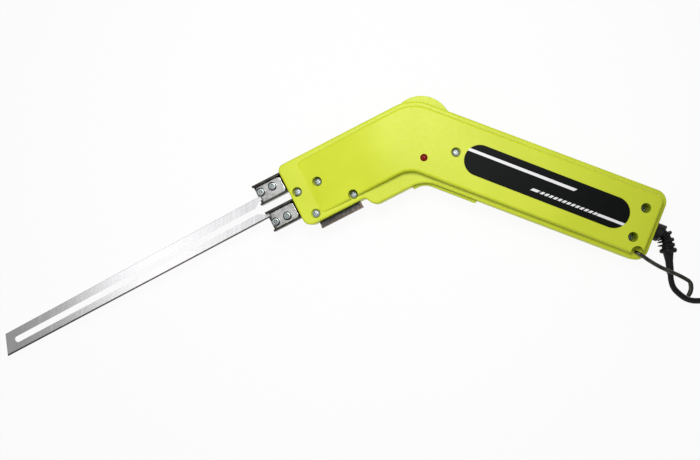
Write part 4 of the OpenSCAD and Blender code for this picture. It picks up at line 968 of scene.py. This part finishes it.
def make_hook():
    """Bent wire: a pin in the housing, a slightly wavy shank and a turned end with a rounded tip."""
    wire_r, pin_low, pin_l, bend_r = 1.2, 2.4, 9.8, 2.2
    bm, end = ring_of(wire_r)
    bmesh.ops.translate(bm, verts=bm.verts[:], vec=(0, 0, pin_low))
    end = onward(bm, end, (0, 0, pin_l))
    end = round_bend(bm, end, (bend_r, 0, 12.2), "Y", 90, 7)
    end = onward(bm, end, (0.8, 0, 0), 1.12)
    spot, heading = Vector((3.0, 0, 14.4)), 0.0
    for angle, length in ((-9, 2.0), (16, 22.0), (-11, 12.0), (-40, 2.4)):
        end, spot, heading = veer(bm, end, spot, heading, angle, length)
    middle = Matrix.Translation(-end.calc_center_median())
    bmesh.ops.scale(bm, verts=end.verts[:], vec=(1.18,) * 3, space=middle)
    end, spot, heading = veer(bm, end, spot, heading, -52, 8.2)
    end = onward(bm, end, aimed(heading) * 0.8, 0.85)
    onward(bm, end, aimed(heading) * 0.4, 0.5)
    closed(bm)
    piece(bm, "hook_wire", DARK_STEEL, "hook_group", "dark_steel", "hook",
          matrix=ON_HANDLE @ at(*HOOK, 0, math.radians(-7.5)))


def make_relief():
    """A moulded sleeve: a collar cut on the slant, ribs round a bend and a tapered tail."""
    core_r, collar_r, rib_r, slant_angle = 3.4, 6.2, 5.9, -37
    collar = turned([(0, 171.3), (7, 171.3), (7, 173.3), (5, 173.3), (5, HANDLE_L), (5.7, HANDLE_L),
                     (collar_r, 176.5), (collar_r, COLLAR_END), (0, COLLAR_END)])
    moved(collar, TURN_HANDLE @ at(0, RELIEF_V) @ spun(90, "Y"))
    spot = Vector((RELIEF_JOINT.x + 2.1, RELIEF_JOINT.y + 5.0, 0))
    bmesh.ops.bisect_plane(collar, geom=collar.verts[:] + collar.edges[:] + collar.faces[:], plane_co=spot,
                           plane_no=aimed(slant_angle), clear_outer=True)
    soften(collar, closed(collar).edges[:], 0.5, 3)
    out, flat = Matrix.Translation((BEND_R, 0, 0)), spun(90, "X")
    core, end = ring_of(core_r, 28)
    moved(core, spun(BEND_ANGLE) @ (out @ flat))
    back = aimed(-BEND_ANGLE) * 4
    bmesh.ops.translate(core, verts=core.verts[:], vec=-back)
    end = onward(core, end, back)
    end = round_bend(core, end, (0, 0, 0), "Z", -BEND_ANGLE, 8)
    end = round_bend(core, end, (BEND_R + 4, 0, 0), "Z", math.degrees(LEAN), 2)
    for length, scale in ((3.0, 1.25), (3.2, 0.82), (5.0, 0.76), (8.4, 0.93), (0.3, 0.92)):
        end = onward(core, end, TAIL_WAY * length, scale)
    closed(core)
    ribs = []
    lean = out @ Matrix.Rotation(LEAN, 4, "Z")
    for spot, left, right in ((spun(35.5) @ Matrix.Translation((BEND_R - 0.3, 0, 0)), 0.5, 2.6),
                              (spun(13.8) @ Matrix.Translation((BEND_R - 0.9, 0, 0)), 0.6, 3.0),
                              (lean @ Matrix.Translation((-0.8, -0.9, 0)), 0.8, 3.2),
                              (lean @ Matrix.Translation((0.1, -4.6, 0)), 3.0, 3.4)):
        rib = turned([(0, -0.5), (4.7, -0.5), (5.5, -0.36), (rib_r, 0), (5.5, 0.36), (4.7, 0.5), (0, 0.5)], 32)
        for vert in rib.verts:
            vert.co.z *= left + (right - left) * (vert.co.x + rib_r) / (2 * rib_r)
        ribs.append(moved(rib, spot @ flat))
    sleeve = moved(gathered(core, *ribs), Matrix.Translation((BEND_MIDDLE.x, BEND_MIDDLE.y, 0)))
    piece(gathered(collar, sleeve), "relief_sleeve", RUBBER, "housing_group", "black_rubber", "strain_relief")


studio_world()
place_camera()
cord = make_cord()
tie = make_tie()
plug, prongs = make_plug()
cord_length()

housing_half(1)
housing_half(-1)
make_trigger()
make_dial()
make_label()
make_lamp()
make_screws()
make_clamps()
make_blade()
make_rail()
make_hook()
make_relief()

# The CAD nodes inside keep their shape and get a material
CARRIED = {
    "trigger_pin": ZINC, "hook_clip": ZINC, "potentiometer_shaft": ZINC, "trigger_spring": ZINC,
    "led_leads": ZINC, "busbar_screws": ZINC, "cord_clamp_screws": ZINC, "potentiometer_body": BLUE,
    "circuit_board": BOARD, "triac": BLACK, "capacitor": AMBER, "switch_body": BLACK, "switch_plunger": RED,
    "transformer_core": IRON, "transformer_coil": COPPER, "upper_busbar": COPPER, "lower_busbar": COPPER,
    "insulator_block": BROWN, "cord_clamp": BROWN, "inner_cord": CORD, "live_wire": BROWN,
    "switch_wire": BROWN, "neutral_wire": BLUE, "primary_wires": RED}
for node, finish in CARRIED.items():
    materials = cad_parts[node].data.materials
    if len(materials) == 0:
        materials.append(finish)
    else:
        materials[0] = finish

place_lamp("key_light", "SPOT", (-0.02, 0.11, 0.60), (-0.04, 0.0, 0.03), 9.5,
           spot_size=math.radians(62), spot_blend=1.0, shadow_soft_size=0.1)
place_lamp("wide_softbox", "AREA", (-0.27, -0.10, 0.85), (-0.14, -0.08, 0.02), 0.10, size=0.45)
place_lamp("blade_softbox", "AREA", (-0.38, -0.11, 0.85), (-0.19, -0.09, 0.02), 0.12, size=0.16)

floor = bmesh.new()
bmesh.ops.create_grid(floor, x_segments=4, y_segments=4, size=3.0)
bmesh.ops.translate(floor, verts=floor.verts[:], vec=(0, 0, -0.0002))
floor = as_object(floor, "floor")
floor.data.materials.append(studio_floor())
